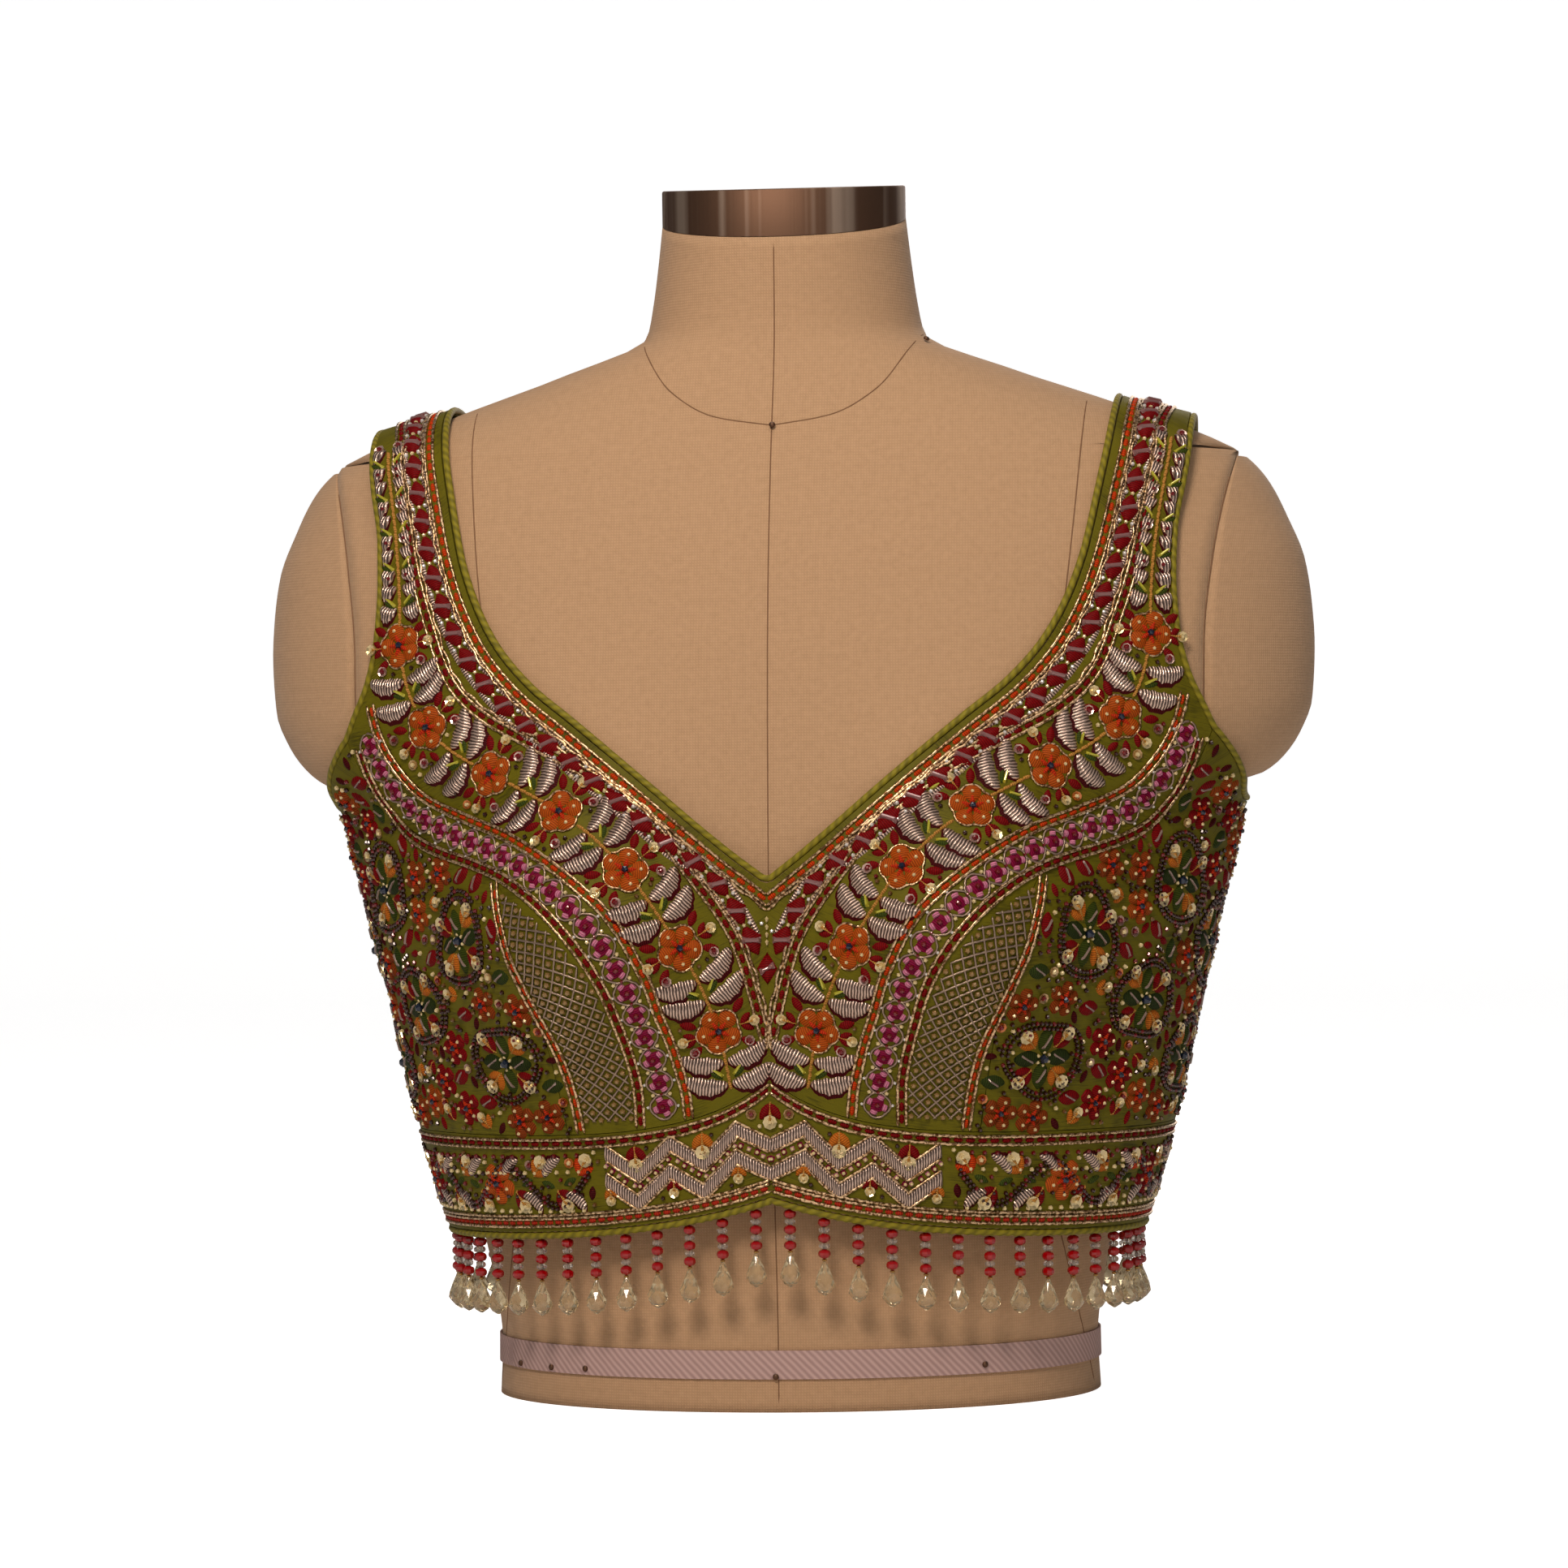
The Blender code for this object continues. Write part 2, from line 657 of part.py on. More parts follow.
def build_piping():
    """Pipings follow the panels' own edge points, so that both bend at the same places."""
    grids = {face: centre_grid(face) for face in ("front", "back")}
    front, foot = grids["front"]
    back, _ = grids["back"]
    edge = np.concatenate([front[foot - 1 :, 0], back[foot - 1 :, 0][::-1][1:]])
    line = beside_edge(edge, 1)
    meet = -line[0, 0] / (line[1, 0] - line[0, 0])
    line[0] += meet * (line[1] - line[0])
    line[-1, 0] = SEAM / 2
    tube("neck_piping", np.concatenate([line[::-1] * (-1, 1, 1), line[1:]]), PIPING_RADIUS, PIPING)
    top = LOWER_ROWS + MIDDLE_ROWS
    front_foot, back_foot = side_grid("front", 1)[-1], side_grid("back", 1)[-1]
    loop = [front[top + 1 :, -1][::-1], front_foot[::-1], back_foot[1:], back[top + 1 : -1, -1]]
    loop = np.concatenate(loop)
    line = beside_edge(np.concatenate([loop[-1:], loop, loop[:1]]), 1)[1:-1]
    for side, word in ((1, "left"), (-1, "right")):
        tube(f"armhole_piping_{word}", line * (side, 1, 1), PIPING_RADIUS, PIPING, closed=True)
    front_low = band_grid("front", band_turns("front"))[0]
    back_low = band_grid("back", band_turns("back"))[0]
    line = beside_edge(np.concatenate([front_low, back_low[::-1][1:]]), -1)
    line[0, 0] = 0
    line[-1, 0] = SEAM / 2
    tube("hem_piping", np.concatenate([line[::-1] * (-1, 1, 1), line[1:]]), PIPING_RADIUS, PIPING)


def build_zigzags():
    """Padded ribbons along the middle of the front band, in points that dip at the centre front."""
    turns = 2 * ZIGZAG_TEETH
    for name, height in ZIGZAG_ABOVE_HEM.items():
        run = np.linspace(-turns / 2, turns / 2, turns * ZIGZAG_STEPS + 1)
        x = run * ZIGZAG_PITCH / 2
        swing = ZIGZAG_SWING * (2 * np.abs(run - 2 * np.round(run / 2)) - 1)
        z = hem(x, "front") + height + swing
        slope = np.gradient(z, x)
        side = ZIGZAG_HALF_WIDTH * np.sqrt(1 + slope**2)
        rows = [CLOTH.at(x, z + sign * side, "front") for sign in (-1, 1)]
        cloth_wall(name, np.array(rows), SILVER_THREAD, WALL + SEAM, ZIGZAG_THICK)


def build_fringe():
    """A tape inside the hem with one beaded strand hanging from each of its tabs."""
    turns = np.linspace(-math.pi, math.pi, FRINGE_SAMPLES + 2)[1:-1]
    face_x = CLOTH.around(turns, HEM)[..., 0]
    level = np.where(np.abs(turns) < math.pi / 2, hem(face_x, "front"), HEM)
    line = CLOTH.around(turns, level)
    along = np.concatenate([[0], np.cumsum(np.linalg.norm(np.diff(line[:, :2], axis=0), axis=1))])
    middles = (np.arange(FRINGE_STRANDS) + 0.5) / FRINGE_STRANDS * along[-1]
    stations = np.sort(np.concatenate([middles - FRINGE_STEM, middles + FRINGE_STEM]))
    turn = np.interp(stations, along, turns)
    level = np.interp(stations, along, level)
    edge = CLOTH.around(turn, level)
    out = CLOTH.normal(edge)
    out[:, 2] = 0
    out /= np.linalg.norm(out, axis=1, keepdims=True)
    face = edge - out * FRINGE_TAPE_GAP
    back = face - out * FRINGE_TAPE_THICK
    low = np.array((0, 0, FRINGE_TAPE_ABOVE_HEM))
    high = low + (0, 0, FRINGE_TAPE_HEIGHT)
    bm = bmesh.new()
    rings = [
        [bm.verts.new(p) for p in (face[k] + low, back[k] + low, back[k] + high, face[k] + high)]
        for k in range(len(edge))
    ]
    bm.faces.new(rings[0])
    bm.faces.new(rings[-1][::-1])
    tabs = []
    for k in range(len(rings) - 1):
        a, b = rings[k], rings[k + 1]
        for i in range(4):
            j = (i + 1) % 4
            made = bm.faces.new((a[i], a[j], b[j], b[i]))
            if i == 0 and k % 2 == 0:
                tabs.append((made, k))
    for tab, k in tabs:
        hem_level = (level[k] + level[k + 1]) / 2
        hang_strand(bm, tab, hem_level)
    bmesh.ops.recalc_face_normals(bm, faces=bm.faces)
    mesh = bpy.data.meshes.new("bead_fringe")
    bm.to_mesh(mesh)
    bm.free()
    link("bead_fringe", mesh, CRYSTAL, smooth_shading=False)


def hang_strand(bm, tab, hem_level):
    """Draws one tab down into a strand: a column of beads, a neck and a drop."""
    for drop, half_width in FRINGE_PROFILE:
        made = bmesh.ops.extrude_discrete_faces(bm, faces=[tab])
        tab = made["faces"][0]
        middle = tab.calc_center_median()
        for vert in tab.verts:
            away = vert.co - middle
            away.z = 0
            away.normalize()
            flat = middle + away * half_width * math.sqrt(2)
            vert.co = (flat.x, flat.y, hem_level - drop)


def arm_plate(z):
    """How far out the torso reaches where the shoulder pieces meet it."""
    rows, names = ARM_PLATE_ROWS, ARM_PLATE_COLUMNS
    return smooth(z, column(rows, names, "height"), column(rows, names, "half_width"))


def tilt(points):
    """Tips the neck's rings forward, more towards the top."""
    z = points[..., 2]
    share = ramp(z, NECK_TILT_FROM, FORM.heights[-1])
    lean = NECK_TILT * share
    return points + np.stack([0 * z, 0 * z, lean * points[..., 1]], axis=-1)


def ring_solid(name, rings, material):
    """A closed solid from a stack of rings of equal length."""
    count = len(rings[0])
    faces = [tuple(range(count)), tuple(range((len(rings) - 1) * count, len(rings) * count))[::-1]]
    for r in range(len(rings) - 1):
        for i in range(count):
            j = (i + 1) % count
            faces.append((r * count + i, r * count + j, (r + 1) * count + j, (r + 1) * count + i))
    return solid(name, np.concatenate(rings), faces, material)


def torso_ring(z):
    """One level ring of the torso, cut off where the shoulder pieces meet it."""
    wide = FORM.size("half_width", z)
    plane = arm_plate(z)
    cut = wide > plane + 0.0002 and ARM_PLATE_ROWS[0][0] < z < ARM_PLATE_ROWS[-1][0]
    corner = math.asin((plane / wide) ** (ROUNDNESS / 2)) if cut else TORSO_SIDE_FROM
    front = FORM.around(np.linspace(-corner, corner, TORSO_FACE_POINTS), z)
    back = FORM.around(np.linspace(math.pi - corner, math.pi + corner, TORSO_FACE_POINTS), z)
    share = np.linspace(0, 1, TORSO_SIDE_POINTS + 2)[1:-1, None]
    if cut:
        left = front[-1] + share * (back[0] - front[-1])
    else:
        left = FORM.around(corner + share[:, 0] * (math.pi - 2 * corner), z)
    right = left[::-1] * (-1, 1, 1)
    return np.concatenate([front, left, back, right])


def build_torso():
    tape = (TAPE_BOTTOM, TAPE_BOTTOM + TAPE_HEIGHT)
    body = np.linspace(TORSO_RINGS_FROM, TORSO_RINGS_TO, TORSO_RINGS)
    rings = [tilt(torso_ring(z)) for z in (0, *tape, *body, *ARM_RINGS, *NECK_RINGS)]
    ring_solid("form_torso", rings, LINEN)


def build_shoulders():
    """Rounded shoulder pieces beside the torso, in line with its surface."""
    low, high = SHOULDER_RANGE
    levels = low + (high - low) * (1 - np.cos(np.linspace(0, math.pi, SHOULDER_LEVELS))) / 2
    for side, word in ((1, "left"), (-1, "right")):
        rings = []
        for z in levels:
            wide = FORM.size("half_width", z)
            plane = arm_plate(z) + SEAM
            corner = math.asin(min(1.0, plane / wide) ** (ROUNDNESS / 2))
            ring = FORM.around(np.linspace(corner, math.pi - corner, SHOULDER_POINTS), z)
            rings.append(ring * (side, 1, 1))
        ring_solid(f"form_shoulder_{word}", rings, LINEN)


def build_neck_cap():
    """Steel cap on the neck: its foot follows the neck's tilted end and its top is nearly level."""
    foot = tilt(torso_ring(FORM.heights[-1])) + (0, 0, SEAM)
    head = foot.copy()
    head[:, 2] = CAP_TOP + CAP_TOP_TILT * head[:, 1]
    cap = ring_solid("form_neck_cap", [foot, head], STEEL)
    bevel = cap.modifiers.new("rounded rim", "BEVEL")
    bevel.width = CAP_BEVEL
    bevel.segments = 2
    bevel.limit_method = "ANGLE"
    bevel.angle_limit = math.radians(60)


def build_waist_tape():
    """A woven tape round the waist, made from the torso's own points moved out."""
    rings = []
    for z, out in (
        (TAPE_BOTTOM, SEAM),
        (TAPE_BOTTOM + TAPE_HEIGHT, SEAM),
        (TAPE_BOTTOM + TAPE_HEIGHT, SEAM + TAPE_THICK),
        (TAPE_BOTTOM, SEAM + TAPE_THICK),
    ):
        points = torso_ring(z)
        away = FORM.normal(points)
        away[:, 2] = 0
        away /= np.linalg.norm(away, axis=1, keepdims=True)
        rings.append(points + away * out)
    count = len(rings[0])
    faces = []
    for r in range(4):
        for i in range(count):
            j = (i + 1) % count
            n = (r + 1) % 4
            faces.append((r * count + i, r * count + j, n * count + j, n * count + i))
    solid("form_waist_tape", np.concatenate(rings), faces, TAPE)


def main():
    clear_scene()
    build_torso()
    build_shoulders()
    build_neck_cap()
    build_waist_tape()
    build_centre_front()
    build_backs()
    build_sides()
    build_bands()
    build_piping()
    build_zigzags()
    build_fringe()


main()
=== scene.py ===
"""Looks of the choli blouse and of the limbless dress form that wears it.

Metres, +Z up, the front faces -Y and the wearer's left is +X, as in the CAD part. Distances along
threads and patterns are in millimetres. The embroidery's motifs are of the traditional zardozi kind
and are set out evenly along their borders, each by its own formula.
"""

import math

import bpy
import numpy as np
from mathutils import Matrix


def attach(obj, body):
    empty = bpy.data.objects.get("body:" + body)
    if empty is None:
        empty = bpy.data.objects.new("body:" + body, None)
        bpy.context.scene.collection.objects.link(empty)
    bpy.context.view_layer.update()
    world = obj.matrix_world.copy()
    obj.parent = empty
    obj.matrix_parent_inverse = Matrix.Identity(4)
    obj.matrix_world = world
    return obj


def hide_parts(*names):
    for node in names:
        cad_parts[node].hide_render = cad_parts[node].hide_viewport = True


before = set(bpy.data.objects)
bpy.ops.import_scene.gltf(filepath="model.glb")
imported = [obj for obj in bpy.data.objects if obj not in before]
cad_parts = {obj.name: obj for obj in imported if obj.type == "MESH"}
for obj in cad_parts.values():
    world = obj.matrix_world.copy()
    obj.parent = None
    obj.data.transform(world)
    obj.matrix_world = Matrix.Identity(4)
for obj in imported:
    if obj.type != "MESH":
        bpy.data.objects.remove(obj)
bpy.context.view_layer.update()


# Studio table and backdrop
# A pale paper sweep, level under the form and curving up far behind it. A near lamp lights it from
# the front, weaker ones from above, the front's right and the back, and the room is dim.
SWEEP_HALF_WIDTH = 5.0
SWEEP_FRONT, SWEEP_BACK = -4.0, 4.0
SWEEP_RADIUS = 0.6
SWEEP_HEIGHT = 4.5
PAPER = "#F1F1F1"
PAPER_GLOW = 0.95
ROOM_GLOW = 0.14


def linear(code):
    """An sRGB hex colour as linear red, green, blue and a full alpha."""
    values = [int(code[i : i + 2], 16) / 255 for i in (1, 3, 5)]
    return (*(v / 12.92 if v <= 0.04045 else ((v + 0.055) / 1.055) ** 2.4 for v in values), 1.0)


def finish_of(name):
    """A new material with an empty tree but for its shader and its output."""
    material = bpy.data.materials.new(name)
    material.use_nodes = True
    return material


def place(material, node, socket, value):
    """Sets or links one input of a node."""
    if isinstance(value, bpy.types.NodeSocket):
        material.node_tree.links.new(value, node.inputs[socket])
    else:
        node.inputs[socket].default_value = value


def add(material, kind, inputs=(), **settings):
    """A node with its settings, and each input set to a value or linked from another node's socket."""
    node = material.node_tree.nodes.new("ShaderNode" + kind)
    for key, value in settings.items():
        setattr(node, key, value)
    for key, value in dict(inputs).items():
        place(material, node, key, value)
    return node


def finish(material, looks):
    """Sets or links the inputs of a material's own shader."""
    for socket, value in looks.items():
        place(material, material.node_tree.nodes["Principled BSDF"], socket, value)


def surface(name, points, faces, material, uv=None, tint=None, smooth=True):
    """A mesh object from an array of points and arrays of faces with three or four corners each."""
    mesh = bpy.data.meshes.new(name)
    faces = [f for f in faces if len(f)]
    corners = np.concatenate([f.ravel() for f in faces]).astype(np.int32)
    sizes = np.concatenate([np.full(len(f), f.shape[1]) for f in faces])
    mesh.vertices.add(len(points))
    mesh.vertices.foreach_set("co", np.ascontiguousarray(points, np.float32).ravel())
    mesh.loops.add(len(corners))
    mesh.loops.foreach_set("vertex_index", corners)
    mesh.polygons.add(len(sizes))
    mesh.polygons.foreach_set("loop_start", np.concatenate([[0], np.cumsum(sizes)[:-1]]).astype(np.int32))
    mesh.polygons.foreach_set("use_smooth", np.full(len(sizes), smooth))
    mesh.update(calc_edges=True)
    if uv is not None:
        layer = mesh.uv_layers.new(name="UVMap")
        layer.data.foreach_set("uv", np.ascontiguousarray(uv[corners], np.float32).ravel())
    if tint is not None:
        colour = mesh.attributes.new("tint", "FLOAT_COLOR", "POINT")
        colour.data.foreach_set("color", np.ascontiguousarray(tint, np.float32).ravel())
    mesh.materials.append(material)
    obj = bpy.data.objects.new(name, mesh)
    bpy.context.scene.collection.objects.link(obj)
    return obj


def grid_faces(rows, columns, wrap=False):
    """Quads of a grid of points, its last column joined to its first if it wraps."""
    r, c = np.meshgrid(np.arange(rows - 1), np.arange(columns - (not wrap)), indexing="ij")
    a, b = r * columns + c, r * columns + (c + 1) % columns
    return np.stack([a, b, b + columns, a + columns], axis=-1).reshape(-1, 4)


def lamp(name, spot, aim, size, power, colour):
    """A square area lamp at a spot, turned to face its aim."""
    light = bpy.data.lights.new(name, "AREA")
    light.shape = "SQUARE"
    light.size, light.energy, light.color = size, power, linear(colour)[:3]
    obj = bpy.data.objects.new(name, light)
    back = np.array(spot, float) - aim
    back /= np.linalg.norm(back)
    side = np.cross((0, 0, 1), back)
    side /= np.linalg.norm(side)
    turn = Matrix(np.column_stack([side, np.cross(back, side), back]))
    obj.matrix_world = Matrix.Translation(spot) @ turn.to_4x4()
    obj.visible_camera = False
    bpy.context.scene.collection.objects.link(obj)
    return obj


bend = np.linspace(0, math.pi / 2, 25)
curve_y = SWEEP_BACK + SWEEP_RADIUS * np.sin(bend)
profile_y = np.concatenate([[SWEEP_FRONT], curve_y, [SWEEP_BACK + SWEEP_RADIUS]])
profile_z = np.concatenate([[0.0], SWEEP_RADIUS * (1 - np.cos(bend)), [SWEEP_HEIGHT]])
across = np.array([-SWEEP_HALF_WIDTH, SWEEP_HALF_WIDTH])
sweep = np.stack(np.broadcast_arrays(across, profile_y[:, None], profile_z[:, None]), axis=-1).reshape(-1, 3)
paper = finish_of("seamless_paper")
# It glows for the camera only, so that it stays white behind the form without lighting its sides.
seen = add(paper, "LightPath")
glow = add(paper, "Math", {0: seen.outputs["Is Camera Ray"], 1: PAPER_GLOW}, operation="MULTIPLY")
finish(paper, {
    "Base Color": linear(PAPER), "Roughness": 0.9, "Emission Color": linear(PAPER),
    "Emission Strength": glow.outputs["Value"],
})
floor = surface("paper_sweep", sweep, [grid_faces(len(profile_y), 2)], paper)
AIM = (0.0, 0.0, 0.28)
lamp("key_lamp", (-0.2, -1.35, 1.25), AIM, 0.45, 16, "#FFF1E4")
lamp("top_lamp", (0.1, -0.5, 2.1), AIM, 0.8, 9, "#FFF4EA")
lamp("fill_lamp", (0.9, -2.2, 0.5), AIM, 1.2, 3, "#FFF6F0")
lamp("back_lamp", (0.3, 1.9, 0.8), AIM, 1.2, 11, "#FFF4EA")
world = bpy.data.worlds.new("studio")
world.use_nodes = True
# The camera sees the room as white as the paper, and the room lights the form dimly.
room_light = world.node_tree.nodes["Background"]
room_light.inputs["Color"].default_value = linear("#FFFFFF")
seen = add(world, "LightPath").outputs["Is Camera Ray"]
glow = add(world, "MapRange", {"Value": seen, "To Min": ROOM_GLOW, "To Max": 1.0})
place(world, room_light, "Strength", glow.outputs["Result"])
bpy.context.scene.world = world
bpy.context.scene.view_settings.view_transform = "Standard"


# Camera
# Level with the blouse's middle, a little to the wearer's left, turned by under a degree on its axis.
CAMERA_AWAY = 2.2
CAMERA_TURN = math.radians(5.5)
CAMERA_HEIGHT = 0.2486
CAMERA_ROLL = math.radians(-0.82)
SENSOR = 36.0
VIEW_WIDTH = 0.6472
camera = bpy.data.objects.new("camera", bpy.data.cameras.new("camera"))
camera.data.sensor_width = SENSOR
camera.data.lens = SENSOR * CAMERA_AWAY / VIEW_WIDTH
camera.data.shift_x = -0.0052
camera.location = (CAMERA_AWAY * math.sin(CAMERA_TURN), -CAMERA_AWAY * math.cos(CAMERA_TURN), CAMERA_HEIGHT)
turned = Matrix.Rotation(CAMERA_TURN, 3, "Z") @ Matrix.Rotation(math.pi / 2, 3, "X")
camera.rotation_euler = (turned @ Matrix.Rotation(CAMERA_ROLL, 3, "Z")).to_euler()
bpy.context.scene.collection.objects.link(camera)
bpy.context.scene.camera = camera


# Dress form
# A padded torso cut level below the waist, with rounded shoulder pieces, covered in beige linen whose
# seams run down the centre, round the neck's base and over the bust. Each level is a rounded section.
ROUNDNESS = 2.1
FINE = 800
FORM_COLUMNS = ("height", "half_width", "front", "back")
FORM_ROWS = (
    (0.0, 0.1238, 0.092, 0.085), (0.0211, 0.1229, 0.09, 0.084), (0.045, 0.1258, 0.0915, 0.085),
    (0.07, 0.131, 0.0945, 0.088), (0.11, 0.141, 0.0985, 0.093), (0.15, 0.152, 0.101, 0.0985),
    (0.19, 0.162, 0.102, 0.1035), (0.225, 0.169, 0.101, 0.1065), (0.244, 0.171, 0.1, 0.108),
    (0.2506, 0.1935, 0.0996, 0.1083), (0.2573, 0.2022, 0.0991, 0.1086), (0.2673, 0.2092, 0.0984, 0.109),
    (0.2807, 0.2142, 0.097, 0.1092), (0.3042, 0.2155, 0.0935, 0.1085), (0.32, 0.2146, 0.09, 0.107),
    (0.3377, 0.212, 0.0855, 0.1045), (0.3544, 0.2055, 0.08, 0.1005), (0.3712, 0.1968, 0.0735, 0.0945),
    (0.3822, 0.1858, 0.069, 0.0895), (0.3896, 0.171, 0.0655, 0.0855), (0.4047, 0.131, 0.058, 0.076),
    (0.4181, 0.0925, 0.052, 0.0665), (0.4332, 0.0575, 0.048, 0.057), (0.4449, 0.0548, 0.047, 0.053),
    (0.4616, 0.0524, 0.0465, 0.051), (0.4804, 0.0502, 0.046, 0.05),
)
BUST_COLUMNS = ("size", "apart", "height", "wide", "over", "under")
FORM_BUST = dict(zip(BUST_COLUMNS, (0.033, 0.085, 0.19, 0.05, 0.062, 0.047)))
NECK_TILT = 0.23
NECK_TILT_FROM = 0.42
CAP_TOP = 0.4945
CAP_TOP_TILT = 0.11
ARM_PLATE_COLUMNS = ("height", "half_width")
ARM_PLATE_ROWS = (
    (0.244, 0.1706), (0.3042, 0.1714), (0.3377, 0.1752), (0.36, 0.1796), (0.3822, 0.1856),
)
SHOULDER_RANGE = (0.2462, 0.3795)
SEAM = 0.0003
TORSO_RINGS = 110
TORSO_CORNER = math.radians(66)
TORSO_FACE_POINTS, TORSO_SIDE_POINTS = 41, 15
LINEN = "#C09A76"
LINEN_DARK = "#A98662"
LINEN_THREAD_MM = 1.1


def column(rows, names, name):
    """The numbers of one named column of a table."""
    return np.array([row[names.index(name)] for row in rows], float)


def smooth(at, xs, ys):
    """Monotone cubic curve through the points, held level past both ends."""
    step = np.diff(xs)
    slope = np.diff(ys) / step
    tangent = np.zeros(len(xs))
    tangent[0], tangent[-1] = slope[0], slope[-1]
    before, after = slope[:-1], slope[1:]
    same = before * after > 0
    left = 2 * step[1:] + step[:-1]
    right = step[1:] + 2 * step[:-1]
    safe_before = np.where(same, before, 1.0)
    safe_after = np.where(same, after, 1.0)
    tangent[1:-1] = np.where(same, (left + right) / (left / safe_before + right / safe_after), 0.0)
    at = np.clip(np.asarray(at, float), xs[0], xs[-1])
    k = np.clip(np.searchsorted(xs, at, side="right") - 1, 0, len(xs) - 2)
    u = (at - xs[k]) / step[k]
    return (
        ys[k] * (1 + 2 * u) * (1 - u) ** 2
        + tangent[k] * step[k] * u * (1 - u) ** 2
        + ys[k + 1] * u * u * (3 - 2 * u)
        + tangent[k + 1] * step[k] * u * u * (u - 1)
    )


def ramp(value, low, high):
    """0 below low, 1 above high, and smooth in between."""
    u = np.clip((value - low) / (high - low), 0, 1)
    return u * u * (3 - 2 * u)


def unit(vectors):
    """Vectors divided by their own lengths."""
    return vectors / np.linalg.norm(vectors, axis=-1, keepdims=True)


class Body:
    """A stack of level rounded sections with two soft mounds on the front."""

    def __init__(self, rows, columns, bust):
        self.heights = column(rows, columns, "height")
        self.sizes = {n: column(rows, columns, n) for n in columns[1:]}
        self.bust = bust

    def size(self, name, z):
        """A section's own measure at this height, by a smooth curve through the rows."""
        return smooth(z, self.heights, self.sizes[name])

    def mounds(self, x, z):
        """Depth that the bust adds: one bell across each side, times one up it, wider above than below."""
        b = self.bust
        tall = np.where(z > b["height"], b["over"], b["under"])
        across = np.exp(-(((np.abs(x) - b["apart"]) / b["wide"]) ** 2))
        return b["size"] * across * np.exp(-(((z - b["height"]) / tall) ** 2))

    def front_depth(self, x, z):
        """The section's depth in front, with the bust on it."""
        return self.size("front", z) + self.mounds(x, z)

    def around(self, turn, z):
        """A point at this turn from the front, in radians, on the section at height z."""
        turn, z = np.broadcast_arrays(np.asarray(turn, float), np.asarray(z, float))
        power = 2 / ROUNDNESS
        s, c = np.sin(turn), np.cos(turn)
        x = self.size("half_width", z) * np.sign(s) * np.abs(s) ** power
        depth = np.where(c > 0, self.front_depth(x, z), self.size("back", z))
        return np.stack([x, -np.sign(c) * depth * np.abs(c) ** power, z], axis=-1)

    def at(self, x, z, face):
        """A point of the front or back at this x and height."""
        x, z = np.broadcast_arrays(np.asarray(x, float), np.asarray(z, float))
        share = np.clip(np.abs(x) / self.size("half_width", z), 0, 1)
        reach = (1 - share**ROUNDNESS) ** (1 / ROUNDNESS)
        y = -self.front_depth(x, z) * reach if face == "front" else self.size("back", z) * reach
        return np.stack([x, y, z], axis=-1)

    def turn_of(self, x, z, face):
        """The turn at which around() gives the point that at() gives."""
        share = np.clip(np.abs(x) / self.size("half_width", z), 0, 1)
        turn = np.arcsin(share ** (ROUNDNESS / 2))
        return np.where(np.asarray(x) < 0, -1, 1) * (turn if face == "front" else math.pi - turn)

    def ridge(self, x):
        """Height of the shoulder line at this x."""
        heights = np.linspace(STRAP_TURN, self.heights[-1], FINE)
        widths = self.size("half_width", heights)
        return np.interp(-np.abs(x), -widths, heights)

    def normal(self, points):
        """Outward direction, from the slope of the section formula."""

        def level(p):
            x, y, z = p[..., 0], p[..., 1], p[..., 2]
            depth = np.where(y < 0, self.front_depth(x, z), self.size("back", z))
            wide = (np.abs(x) / self.size("half_width", z)) ** ROUNDNESS
            return wide + (np.abs(y) / depth) ** ROUNDNESS

        step = 0.0002
        slopes = [level(points + step * axis) - level(points - step * axis) for axis in np.eye(3)]
        return unit(np.stack(slopes, axis=-1))


FORM = Body(FORM_ROWS, FORM_COLUMNS, FORM_BUST)


def arm_plate(z):
    """How far out the torso reaches where the shoulder pieces meet it."""
    rows, names = ARM_PLATE_ROWS, ARM_PLATE_COLUMNS
    return smooth(z, column(rows, names, "height"), column(rows, names, "half_width"))


def plate_turn(z, gap=0.0):
    """The turn at which a section reaches the shoulder piece's plane, or a gap beyond it."""
    share = np.minimum((arm_plate(z) + gap) / FORM.size("half_width", z), 1)
    return np.arcsin(share ** (ROUNDNESS / 2))


def tilt(points):
    """Tips the neck's rings forward, more towards the top."""
    lean = NECK_TILT * ramp(points[..., 2], NECK_TILT_FROM, FORM.heights[-1])
    return points + np.stack([0 * lean, 0 * lean, lean * points[..., 1]], axis=-1)


def torso_rings(z):
    """Level rings of the torso: front, left, back and right, straight where the shoulder pieces meet it."""
    z = np.asarray(z, float)[:, None]
    wide, plane = FORM.size("half_width", z), arm_plate(z)
    cut = (wide > plane + 0.0002) & (z > ARM_PLATE_ROWS[0][0]) & (z < ARM_PLATE_ROWS[-1][0])
    corner = np.where(cut, plate_turn(z), TORSO_CORNER)
    spread = np.linspace(-1, 1, TORSO_FACE_POINTS)
    front, back = FORM.around(corner * spread, z), FORM.around(math.pi + corner * spread, z)
    share = np.linspace(0, 1, TORSO_SIDE_POINTS + 2)[1:-1]
    curved = FORM.around(corner + share * (math.pi - 2 * corner), z)
    straight = front[:, -1:] + share[:, None] * (back[:, :1] - front[:, -1:])
    left = np.where(cut[..., None], straight, curved)
    return np.concatenate([front, left, back, left[:, ::-1] * (-1, 1, 1)], axis=1)


